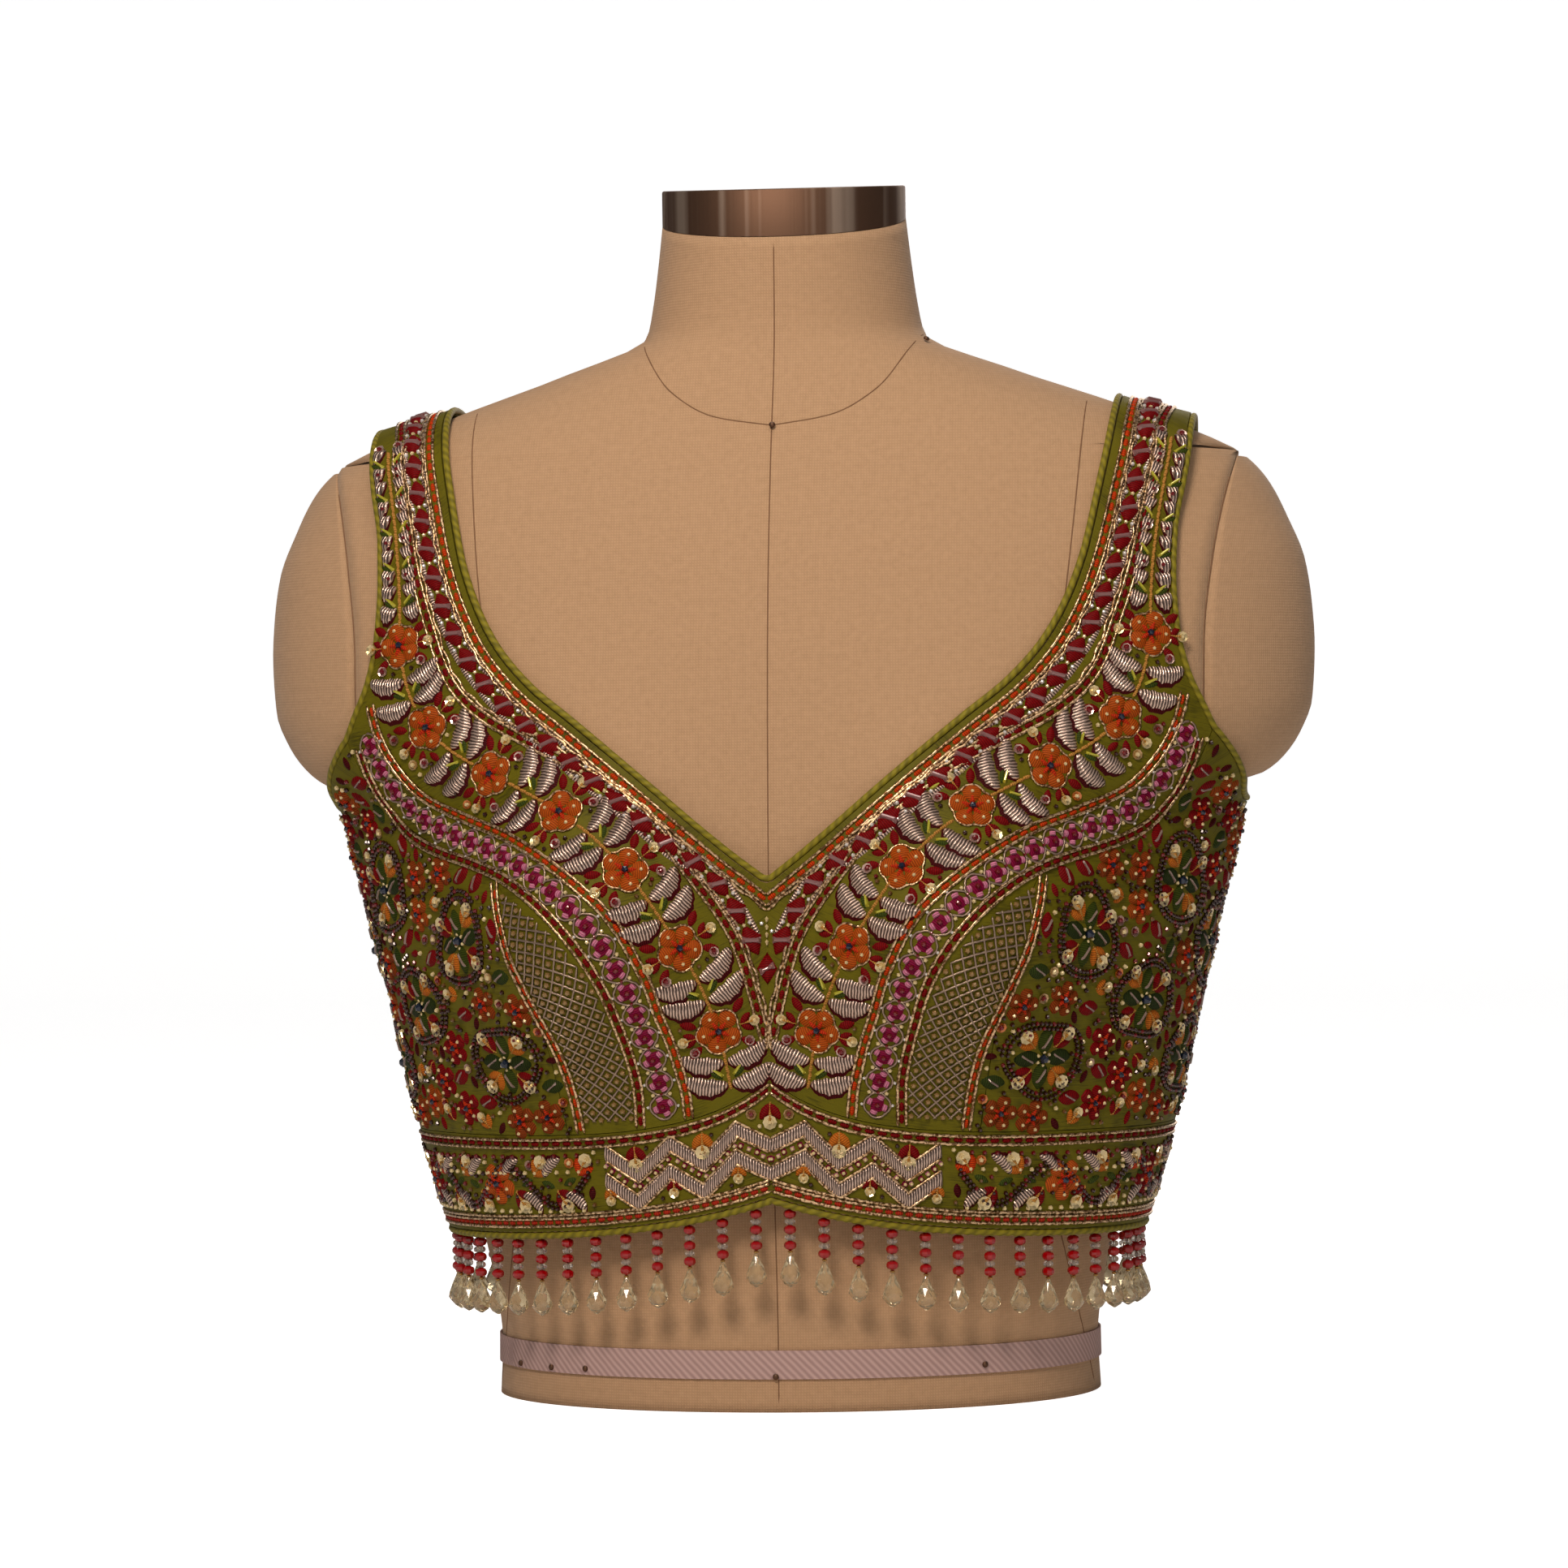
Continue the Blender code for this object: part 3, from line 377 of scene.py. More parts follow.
def around_mm(rings):
    """Millimetres round each ring from its first point, and up its height, for a woven pattern."""
    steps = np.linalg.norm(np.diff(rings, axis=1, prepend=rings[:, -1:]), axis=-1)
    along = np.cumsum(steps, axis=1) - steps[:, :1]
    middle = along[:, TORSO_FACE_POINTS // 2][:, None] if rings.shape[1] > TORSO_FACE_POINTS else 0
    return 1000 * np.stack([along - middle, rings[..., 2]], axis=-1).reshape(-1, 2)


def stack(name, rings, material):
    """A closed surface over a stack of rings, its ends flat."""
    count = rings.shape[1]
    ends = [np.arange(count)[None, ::-1], np.arange(count)[None] + (len(rings) - 1) * count]
    faces = [grid_faces(len(rings), count, True), *ends]
    return surface(name, rings.reshape(-1, 3), faces, material, around_mm(rings))


# Unbleached linen, plain woven and stretched tight: dull, with the slubs of uneven yarn. The weave is
# drawn at about twice its real spacing, so that it shows.
linen = finish_of("woven_linen")
uv = add(linen, "TexCoord").outputs["UV"]
yarn = {"Scale": 0.314 / LINEN_THREAD_MM, "Vector": uv, "Distortion": 1.5, "Detail Scale": 0.4}
warp = add(linen, "TexWave", yarn, bands_direction="X")
weft = add(linen, "TexWave", yarn, bands_direction="Y")
weave = add(linen, "Math", {0: warp.outputs["Fac"], 1: weft.outputs["Fac"]}, operation="MULTIPLY")
slub = add(linen, "TexNoise", {"Vector": uv, "Scale": 0.35, "Detail": 5.0, "Roughness": 0.7})
mixed = {0: weave.outputs["Value"], 1: 0.5, 2: slub.outputs["Fac"]}
mixed = add(linen, "Math", mixed, operation="MULTIPLY_ADD")
tone = add(linen, "ValToRGB", {"Fac": mixed.outputs["Value"]})
for stop, at, colour in zip(tone.color_ramp.elements, (0.25, 0.95), (LINEN_DARK, LINEN)):
    stop.position, stop.color = at, linear(colour)
bump = add(linen, "Bump", {"Strength": 0.35, "Distance": 0.0003, "Height": weave.outputs["Value"]})
finish(linen, {
    "Base Color": tone.outputs["Color"], "Normal": bump.outputs["Normal"], "Roughness": 0.88,
    "Sheen Weight": 0.12, "Sheen Roughness": 0.5,
})

levels = np.concatenate([np.linspace(0, FORM.heights[-1], TORSO_RINGS), np.linspace(0.2441, 0.3821, 30)])
torso = stack("torso", tilt(torso_rings(np.unique(np.round(levels, 5)))), linen)
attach(torso, "root")
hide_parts("form_torso")

low, high = SHOULDER_RANGE
levels = low + (high - low) * (1 - np.cos(np.linspace(0, math.pi, 44))) / 2
corner = plate_turn(levels, SEAM)[:, None]
cap = FORM.around(corner + np.linspace(0, 1, 40) * (math.pi - 2 * corner), levels[:, None])
for side, word in ((1, "left"), (-1, "right")):
    rings = cap if side > 0 else (cap * (-1, 1, 1))[:, ::-1]
    shoulder = stack(f"shoulder_{word}", rings, linen)
    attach(shoulder, "root")
    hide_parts(f"form_shoulder_{word}")


# Form's seams
# Sewing thread pulled into the linen along the centre front, the princess lines over the bust, the
# neck's base and the edges of the shoulder pieces.
SEAM_THREAD_RADIUS = 0.0003
PRINCESS_ROWS = ((0.0, 0.1225), (0.06, 0.112), (0.13, 0.098), (0.2, 0.088), (0.3, 0.114))
PRINCESS_ROWS += ((0.385, 0.1235), (0.405, 0.125))
# The neck's base: distance from the middle and height in front, and how much higher it is behind.
NECK_BASE_ROWS = ((0.0, 0.3925), (0.025, 0.3965), (0.045, 0.4075), (0.058, 0.425), (0.062, 0.433))
NECK_BASE_RISE = 0.012


def tubes(name, paths, outs, radii, material, sides=6, squash=0.0, twist_mm=0.0):
    """Round threads along paths: at each point a ring in the plane of its outward and sideways directions.

    A twisted one's ring is an oval, its radius varied by squash, that turns once in each twist length.
    Every end closes to a point.
    """
    points, walls, ends, uvs, first = [], [], [], [], 0
    around = np.arange(sides) * 2 * math.pi / sides
    for path, out, radius in zip(paths, outs, radii):
        ahead = unit(np.gradient(path, axis=0))
        side = unit(np.cross(out, ahead))
        up = np.cross(ahead, side)
        steps = np.linalg.norm(np.diff(path, axis=0, prepend=path[:1]), axis=1)
        along = np.cumsum(steps)
        turn = 2 * math.pi * along[:, None] * 1000 / twist_mm if twist_mm else 0.0
        reach = radius * (1 + squash * np.cos(2 * (around - turn))) * np.ones((len(path), 1))
        reach[[0, -1]] *= 0.05
        level, high = ((reach * f(around))[..., None] for f in (np.cos, np.sin))
        ring = path[:, None] + level * side[:, None] + high * up[:, None]
        points.append(ring.reshape(-1, 3))
        uv = np.stack(np.broadcast_arrays(along[:, None], radius * around), axis=-1)
        uvs.append(1000 * uv.reshape(-1, 2))
        walls.append(grid_faces(len(path), sides, True)[:, ::-1] + first)
        ends.append(first + np.stack([np.arange(sides), len(path) * sides - 1 - np.arange(sides)]))
        first += ring.shape[0] * sides
    faces = [np.concatenate(walls), np.concatenate(ends)]
    return surface(name, np.concatenate(points), faces, material, np.concatenate(uvs))


def on_form(x, z, face):
    """Points of the form's surface with their outward directions, the neck tipped forward."""
    points = FORM.at(x, z, face)
    return tilt(points), FORM.normal(points)


seam_thread = finish_of("brown_cotton_thread")
finish(seam_thread, {"Base Color": linear("#7E5C40"), "Roughness": 0.9})
lines = []
z = np.linspace(0.003, FORM.heights[-1] - 0.002, 160)
for face in ("front", "back"):
    lines.append(on_form(0 * z, z, face))
    rows = np.array(PRINCESS_ROWS)
    level = np.linspace(0.003, rows[-1, 0], 120)
    x = smooth(level, rows[:, 0], rows[:, 1])
    lines += [on_form(side * x, level, face) for side in (1, -1)]
    rows = np.array(NECK_BASE_ROWS)
    side_x = float(FORM.size("half_width", rows[-1, 1]))
    x = side_x * np.sin(np.linspace(-math.pi / 2, math.pi / 2, 121))
    rise = NECK_BASE_RISE * (1 - (x / side_x) ** 4) if face == "back" else 0
    lines.append(on_form(x, smooth(np.abs(x) / side_x * rows[-1, 0], rows[:, 0], rows[:, 1]) + rise, face))
for side in (1, -1):
    turn = np.linspace(0, 1, 90)
    level = 0.248 + 0.122 * np.sin(turn * math.pi) ** 0.6
    at = np.where(turn < 0.5, plate_turn(level), math.pi - plate_turn(level))
    for half in (turn < 0.5, turn >= 0.5):
        rim = FORM.around(at[half], level[half]) * (side, 1, 1)
        lines.append((rim, FORM.normal(rim)))
seams = tubes(
    "form_seams",
    [points - 0.2 * SEAM_THREAD_RADIUS * out for points, out in lines],
    [out for _, out in lines],
    [SEAM_THREAD_RADIUS] * len(lines),
    seam_thread,
)
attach(seams, "root")


# Neck cap
# A spun steel cap with a brushed side, painted reflections on it, a nearly level top and a just rounded rim.
CAP_BEVEL = 0.0008
foot = tilt(torso_rings([FORM.heights[-1]]))[0] + (0, 0, SEAM)
head = foot.copy()
head[:, 2] = CAP_TOP + CAP_TOP_TILT * head[:, 1]
inset = 1 - CAP_BEVEL / 0.05
rounded = [foot, head - (0, 0, CAP_BEVEL), head * (*[1 - (1 - inset) * 0.3] * 2, 1) - (0, 0, CAP_BEVEL * 0.3)]
rounded.append(head * (inset, inset, 1))
steel = finish_of("brushed_steel")
uv = add(steel, "TexCoord").outputs["UV"]
stretch = add(steel, "Mapping", {"Vector": uv, "Scale": (1.2, 90.0, 1.0)}, vector_type="TEXTURE")
grain = add(steel, "TexNoise", {"Vector": stretch.outputs["Vector"], "Scale": 1.0, "Detail": 4.0})
reflection_band_map = add(steel, "Mapping", {"Vector": uv, "Scale": (0.055, 0.0, 1.0)})
painted_reflection_bands = add(steel, "TexNoise", {"Vector": reflection_band_map.outputs["Vector"], "Scale": 1.0, "Detail": 3.0})
# The bands are painted reflections on the round side: the level top is plain.
facing = add(steel, "NewGeometry").outputs["Normal"]
height = add(steel, "SeparateXYZ", {"Vector": facing}).outputs["Z"]
reflection_banding = {"Value": height, "From Min": 0.5, "From Max": 0.9, "To Min": painted_reflection_bands.outputs["Fac"], "To Max": 0.59}
shade = add(steel, "MapRange", reflection_banding)
tone = add(steel, "ValToRGB", {"Fac": shade.outputs["Result"]})
for stop, at, colour in zip(tone.color_ramp.elements, (0.5, 0.62), ("#6A5040", "#A89484")):
    stop.position, stop.color = at, linear(colour)
bump = add(steel, "Bump", {"Strength": 0.25, "Distance": 0.0002, "Height": grain.outputs["Fac"]})
finish(steel, {
    "Base Color": tone.outputs["Color"], "Normal": bump.outputs["Normal"], "Metallic": 1.0,
    "Roughness": 0.55,
})
neck_cap = stack("neck_cap", np.array(rounded), steel)
neck_cap.data.set_sharp_from_angle(angle=math.radians(50))
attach(neck_cap, "root")
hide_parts("form_neck_cap")


# Waist tape and pins
# A faded lilac herringbone tape pinned level round the form near its foot. The pins that hold it, and
# two in the neck, come last.
TAPE_BOTTOM, TAPE_HEIGHT, TAPE_THICK = 0.0131, 0.0113, 0.0008
PIN_SPOTS = ((-0.1085, 0.015), (-0.094, 0.015), (-0.079, 0.0155), (-0.001, 0.014), (0.08, 0.0165))
NECK_PIN_SPOTS = ((0.0003, 0.392), (0.059, 0.4285))
rings = []
for z, out in (
    (TAPE_BOTTOM, SEAM),
    (TAPE_BOTTOM + TAPE_HEIGHT, SEAM),
    (TAPE_BOTTOM + TAPE_HEIGHT, SEAM + TAPE_THICK),
    (TAPE_BOTTOM, SEAM + TAPE_THICK),
):
    ring = torso_rings([z])[0]
    rings.append(ring + unit(FORM.normal(ring) * (1, 1, 0)) * out)
rings = np.array(rings)
count = rings.shape[1]
closed = grid_faces(5, count, True) % (4 * count)


def walk(points):
    """Length walked along points, from the first to each."""
    return np.concatenate([[0], np.cumsum(np.linalg.norm(np.diff(points, axis=0), axis=1))])


lengths = walk(rings[2])
across = np.array([0.0, TAPE_HEIGHT, TAPE_HEIGHT, 0.0])[:, None]
tape_uv = 1000 * np.stack(np.broadcast_arrays(lengths, across), axis=-1).reshape(-1, 2)
# Woven cotton herringbone: soft, faded, its twill lines a millimetre apart.
lilac = finish_of("lilac_cotton_tape")
uv = add(lilac, "TexCoord").outputs["UV"]
twill = add(lilac, "TexWave", {"Vector": uv, "Scale": 0.2, "Distortion": 0.6}, bands_direction="DIAGONAL")
tone = add(lilac, "ValToRGB", {"Fac": twill.outputs["Fac"]})
for stop, colour in zip(tone.color_ramp.elements, ("#A38480", "#C2A39C")):
    stop.color = linear(colour)
bump = add(lilac, "Bump", {"Strength": 0.3, "Distance": 0.0003, "Height": twill.outputs["Fac"]})
finish(lilac, {"Base Color": tone.outputs["Color"], "Normal": bump.outputs["Normal"], "Roughness": 0.85})
tape = surface("waist_tape", rings.reshape(-1, 3), [closed], lilac, tape_uv)
tape.data.set_sharp_from_angle(angle=math.radians(50))
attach(tape, "root")
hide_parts("form_waist_tape")


# Blouse panels
# Front, two backs, two sides front and back and the waistband are cut in olive raw silk, stiffened by
# the embroidery's backing, and sewn edge to edge. A few drag lines run from the bust and the armholes.
WALL = 0.002
CLOTH_COLUMNS = ("height", "half_width", "front", "back")
CLOTH_ROWS = (
    (0.06, 0.1408, 0.105, 0.101), (0.07, 0.1425, 0.1058, 0.1015), (0.09, 0.1482, 0.1068, 0.1022),
    (0.11, 0.154, 0.1072, 0.103), (0.1367, 0.1598, 0.1072, 0.1045), (0.1601, 0.165, 0.107, 0.1062),
    (0.18, 0.1698, 0.1066, 0.1075), (0.2003, 0.1748, 0.1058, 0.1088), (0.2204, 0.1796, 0.1045, 0.1098),
    (0.24, 0.1855, 0.103, 0.1104), (0.2506, 0.198, 0.102, 0.1106), (0.2573, 0.2044, 0.1013, 0.1107),
    (0.2673, 0.2112, 0.1003, 0.111), (0.2807, 0.2164, 0.0988, 0.1112), (0.3042, 0.218, 0.0953, 0.1105),
    (0.32, 0.2171, 0.0917, 0.109), (0.3377, 0.2147, 0.0872, 0.1065), (0.3544, 0.2087, 0.0817, 0.1025),
    (0.3712, 0.2006, 0.0752, 0.0965), (0.3822, 0.1905, 0.0708, 0.0915), (0.3896, 0.176, 0.0674, 0.0876),
    (0.4047, 0.1365, 0.06, 0.0782), (0.4181, 0.0985, 0.054, 0.0688), (0.4332, 0.0635, 0.05, 0.0594),
)
CLOTH_BUST = dict(zip(BUST_COLUMNS, (0.0335, 0.084, 0.188, 0.056, 0.06, 0.05)))
STRAP_ARCH, STRAP_ARCH_FROM, STRAP_ARCH_TO = 0.0026, 0.14, 0.17
STRAP_ARCH_HEIGHTS = (0.35, 0.38)
HEM, HEM_RISE, HEM_REACH = 0.0697, 0.0173, 0.056
BAND_TOP, BAND_TOP_RISE, BAND_TOP_REACH = 0.11, 0.0232, 0.028
POINT_END = 0.142
STRAP_TURN = 0.34
STRAP_MIDDLE = 0.15
OUTLINE_COLUMNS = ("height", "half_width")
NECKLINE = {
    "front": (
        (0.2122, 0.0), (0.2218, 0.0126), (0.233, 0.0262), (0.2473, 0.0428), (0.2633, 0.0618),
        (0.2762, 0.0774), (0.289, 0.0932), (0.3053, 0.1075), (0.3217, 0.1165), (0.3416, 0.1235),
        (0.3622, 0.1285), (0.3833, 0.133), (0.41, 0.137),
    ),
    "back": (
        (0.226, 0.0), (0.227, 0.02), (0.231, 0.042), (0.24, 0.064), (0.253, 0.082), (0.27, 0.096),
        (0.295, 0.108), (0.32, 0.1155), (0.3416, 0.121), (0.3622, 0.1275), (0.3833, 0.133), (0.41, 0.137),
    ),
}
ARMHOLE_JOIN, ARMHOLE_LOW = 0.268, 0.2395
ARMHOLE = {
    "front": (
        (0.268, 0.1765), (0.2767, 0.1726), (0.293, 0.1655), (0.3094, 0.162), (0.3294, 0.1608),
        (0.3491, 0.1616), (0.37, 0.1646), (0.4, 0.168),
    ),
    "back": (
        (0.268, 0.175), (0.2767, 0.1705), (0.293, 0.164), (0.3094, 0.1605), (0.3294, 0.1598),
        (0.3491, 0.1614), (0.37, 0.1646), (0.4, 0.168),
    ),
}
SIDE_SEAM_RUN = {
    "front": (
        (0.11, 0.0806), (0.1489, 0.0876), (0.1762, 0.0942), (0.1936, 0.0996), (0.21, 0.1052),
        (0.2186, 0.1165), (0.2286, 0.14), (0.244, 0.16), (0.268, 0.1735),
    ),
    "back": (
        (0.11, 0.076), (0.15, 0.083), (0.18, 0.0925), (0.205, 0.106), (0.225, 0.123), (0.244, 0.146),
        (0.268, 0.172),
    ),
}
SEAM_MEETS_ARMHOLE_SLOPE = 0.5
PIPING_RADIUS = 0.0014
SIDE_TURN = math.pi / 2
SIDE_SEAM_TURN = 0.0011
LOWER_ROWS, MIDDLE_ROWS, STRAP_ROWS, SHOULDER_ROWS = 38, 36, 24, 18
CENTRE_COLUMNS, SIDE_COLUMNS, BAND_ROWS, BAND_COLUMNS = 48, 36, 14, 110
HEM_POINTS = 1100
COLUMN_EASE = 1.2
CREASE_COLUMNS = ("x", "z", "run_x", "run_z", "long", "wide", "deep", "face")
CREASES = (
    (0.146, 0.204, 0.9, 0.44, 0.022, 0.0045, -0.001, "front"),
    (0.158, 0.182, 0.8, 0.6, 0.026, 0.005, -0.0012, "front"),
    (0.15, 0.15, 0.3, 0.95, 0.02, 0.006, 0.0008, "front"),
    (0.132, 0.14, 0.25, 0.97, 0.022, 0.0055, -0.0009, "front"),
    (-0.15, 0.196, 0.9, -0.44, 0.024, 0.005, -0.0012, "front"),
    (-0.16, 0.16, 0.75, -0.66, 0.026, 0.005, -0.001, "front"),
    (-0.136, 0.146, 0.2, -0.98, 0.018, 0.006, 0.0009, "front"),
    (0.171, 0.245, 0.4, 0.92, 0.014, 0.004, -0.0008, "front"),
    (-0.17, 0.24, 0.45, -0.89, 0.013, 0.0042, -0.0009, "front"),
    (0.12, 0.22, 0.85, 0.52, 0.03, 0.006, -0.0011, "back"),
    (-0.128, 0.205, 0.88, -0.47, 0.026, 0.006, -0.0012, "back"),
    (0.085, 0.15, 0.15, 0.99, 0.026, 0.0065, 0.0009, "back"),
    (-0.07, 0.16, 0.1, 0.99, 0.024, 0.006, -0.001, "back"),
    (-0.11, 0.13, 0.22, -0.97, 0.018, 0.0055, 0.0008, "back"),
    (0.04, 0.13, 0.05, 1.0, 0.02, 0.006, -0.0009, "back"),
)
CLOTH = Body(CLOTH_ROWS, CLOTH_COLUMNS, CLOTH_BUST)


def creases(points):
    """Soft troughs and ridges: each a bell across its run, fading out along it by another bell."""
    x, y, z = points[..., 0], points[..., 1], points[..., 2]
    lift = np.zeros(x.shape)
    for row in CREASES:
        c = dict(zip(CREASE_COLUMNS, row))
        dx, dz = x - c["x"], z - c["z"]
        along = dx * c["run_x"] + dz * c["run_z"]
        across = dx * c["run_z"] - dz * c["run_x"]
        bell = np.exp(-((along / c["long"]) ** 2) - (across / c["wide"]) ** 2)
        lift += np.where((y < 0) == (c["face"] == "front"), c["deep"] * bell, 0)
    return lift


def off_cloth(points, distance):
    """Points of the blouse's surface moved out from the inside of the cloth, with its creases."""
    x, z = np.abs(points[..., 0]), points[..., 2]
    arch = STRAP_ARCH * ramp(x, STRAP_ARCH_FROM, STRAP_ARCH_TO) * ramp(z, *STRAP_ARCH_HEIGHTS)
    return points + CLOTH.normal(points) * (arch + creases(points) + distance)[..., None]


def over_shoulder(x, share, face):
    """A point of the blouse's surface between the strap's turn, share 0, and the shoulder line, share 1."""
    x, share = np.broadcast_arrays(np.asarray(x, float), np.asarray(share, float))
    rise = CLOTH.ridge(x) - STRAP_TURN
    return CLOTH.at(x, STRAP_TURN + rise * np.sin(share * math.pi / 2), face)


def offset_outline(rows, distance):
    """Heights and half widths of an outline moved sideways, outwards if distance is positive."""
    z = column(rows, OUTLINE_COLUMNS, "height")
    x = column(rows, OUTLINE_COLUMNS, "half_width")
    fine = np.linspace(0, 1, FINE)
    along = np.concatenate([[0], np.cumsum(np.hypot(np.diff(x), np.diff(z)))])
    along /= along[-1]
    fx, fz = smooth(fine, along, x), smooth(fine, along, z)
    dx, dz = np.gradient(fx), np.gradient(fz)
    size = np.hypot(dx, dz)
    fx, fz = fx + distance * dz / size, fz - distance * dx / size
    keep = fx >= 0
    return fz[keep], fx[keep]


PIPING_SPACE = 2 * PIPING_RADIUS + SEAM
NECK_EDGE = {face: offset_outline(NECKLINE[face], PIPING_SPACE) for face in NECKLINE}
ARM_EDGE = {face: offset_outline(ARMHOLE[face], -PIPING_SPACE) for face in ARMHOLE}


def neck_x(z, face):
    """Half width of the neckline's edge at this height, and none below its foot."""
    heights, widths = NECK_EDGE[face]
    return np.where(z <= heights[0], 0.0, np.interp(z, heights, widths))


def arm_x(z, face):
    """Half width out to the armhole's edge at this height."""
    return np.interp(z, *ARM_EDGE[face])


def seam_x(z, face):
    """Half width of the side seam, cut off by a straight slope down from the armhole's foot."""
    rows = SIDE_SEAM_RUN[face]
    run = smooth(z, column(rows, OUTLINE_COLUMNS, "height"), column(rows, OUTLINE_COLUMNS, "half_width"))
    reach = arm_x(ARMHOLE_JOIN, face) + np.maximum(ARMHOLE_JOIN - z, 0) * SEAM_MEETS_ARMHOLE_SLOPE
    return np.minimum(run, reach)


def stations(edge_x, face, low, high, count):
    """Heights that divide an edge evenly by its length, with the edge's half widths there."""
    z = np.linspace(low, high, FINE)
    x = edge_x(z, face)
    along = np.concatenate([[0], np.cumsum(np.hypot(np.diff(x), np.diff(z)))])
    at = np.linspace(0, along[-1], count)
    return np.interp(at, along, z), np.interp(at, along, x)


def beside(x, z, distance):
    """Points moved square to their own line, away from the centre line for a rising line."""
    dx, dz = np.gradient(x), np.gradient(z)
    size = np.hypot(dx, dz)
    return x + distance * dz / size, z - distance * dx / size


def point_rise(x, rise, reach, face):
    """The pointed rise of the band's edges: steepest at the centre front and gone at the sides."""
    end = math.exp(-POINT_END / reach)
    share = (np.exp(-np.abs(x) / reach) - end) / (1 - end)
    return rise * np.maximum(share, 0) * (face == "front")


def band_top(x, face):
    """Height of the band's top edge at this x."""
    return BAND_TOP + point_rise(x, BAND_TOP_RISE, BAND_TOP_REACH, face)


def hem(x, face):
    """Height of the hem at this x."""
    return HEM + point_rise(x, HEM_RISE, HEM_REACH, face)


def seam_line(face, away):
    """The side seam's stations from the band to the armhole, moved this far from the centre line."""
    foot = NECK_EDGE[face][0][0]
    low_z, low_x = stations(seam_x, face, BAND_TOP, foot, LOWER_ROWS + 1)
    high_z, high_x = stations(seam_x, face, foot, ARMHOLE_JOIN, MIDDLE_ROWS + 1)
    x, z = beside(np.concatenate([low_x, high_x[1:]]), np.concatenate([low_z, high_z[1:]]), away)
    z[0] = band_top(x[0], face)
    return x, z


def centre_panel(face):
    """Half of a centre panel: rows from the band up to the neckline's foot, up the strap and over it."""
    foot = NECK_EDGE[face][0][0]
    share = np.linspace(0, 1, CENTRE_COLUMNS) ** COLUMN_EASE
    out_x, out_z = seam_line(face, -SEAM / 2)
    arm_z, arm = stations(arm_x, face, ARMHOLE_JOIN, STRAP_TURN, STRAP_ROWS + 1)
    out_x, out_z = np.concatenate([out_x, arm[1:]]), np.concatenate([out_z, arm_z[1:]])
    in_z, in_x = stations(neck_x, face, foot, STRAP_TURN, MIDDLE_ROWS + STRAP_ROWS + 1)
    x = share * out_x[:LOWER_ROWS, None]
    rise = ((out_z[:LOWER_ROWS] - out_z[0]) / (out_z[LOWER_ROWS] - out_z[0]))[:, None]
    low = band_top(x, face) + SEAM / 2
    lower = CLOTH.at(x, low + rise * (foot + share * (out_z[LOWER_ROWS] - foot) - low), face)
    x = in_x[:, None] + share * (out_x[LOWER_ROWS:] - in_x)[:, None]
    z = in_z[:, None] + share * (out_z[LOWER_ROWS:] - in_z)[:, None]
    middle = CLOTH.at(x, z, face)
    turn = np.linspace(0, 1, SHOULDER_ROWS + 1)[1:, None]
    z = STRAP_TURN + (CLOTH.ridge(STRAP_MIDDLE) - STRAP_TURN) * np.sin(turn * math.pi / 2)
    upper = over_shoulder(neck_x(z, face) + share * (arm_x(z, face) - neck_x(z, face)), turn, face)
    upper[-1, :, 1] = -SEAM / 2 if face == "front" else SEAM / 2
    return np.concatenate([lower, middle, upper])


def side_panel(face):
    """A side panel, from the side seam to the centre panel, its top edge the armhole's foot."""
    seam_edge, seam_z = seam_line(face, SEAM / 2)
    join = (seam_z - seam_z[0]) / (seam_z[-1] - seam_z[0])
    at_side = BAND_TOP + join * (ARMHOLE_LOW - BAND_TOP)
    side_turn = SIDE_TURN + (-SIDE_SEAM_TURN if face == "front" else SIDE_SEAM_TURN)
    share = np.linspace(0, 1, SIDE_COLUMNS)
    turn = side_turn + share * (CLOTH.turn_of(seam_edge, seam_z, face)[:, None] - side_turn)
    z = at_side[:, None] + (seam_z - at_side)[:, None] * share**2
    for _ in range(6):
        z[0] = band_top(CLOTH.around(turn[0], z[0])[..., 0], face) + SEAM / 2
    return CLOTH.around(turn, z)


def band_strip(face):
    """Half of the waistband, from the centre line to the side."""
    turns = {"front": (0, SIDE_TURN - SIDE_SEAM_TURN), "back": (math.pi - 0.001, SIDE_TURN + SIDE_SEAM_TURN)}
    turn = np.linspace(*turns[face], BAND_COLUMNS)
    share = np.linspace(0, 1, BAND_ROWS + 1)[:, None]
    low = hem(CLOTH.around(turn, HEM)[..., 0], face)
    high = BAND_TOP + 0 * turn
    for _ in range(6):
        high = band_top(CLOTH.around(turn, high)[..., 0], face) - SEAM / 2
    return CLOTH.around(turn, low + share * (high - low))


def woven_mm(grid):
    """Millimetres along the rows and up the columns of a grid, from its first column and row."""
    ahead = np.linalg.norm(np.diff(grid, axis=1, prepend=grid[:, :1]), axis=-1).cumsum(axis=1)
    up = np.linalg.norm(np.diff(grid, axis=0, prepend=grid[:1]), axis=-1).cumsum(axis=0)
    return 1000 * np.stack([ahead, up], axis=-1).reshape(-1, 2)


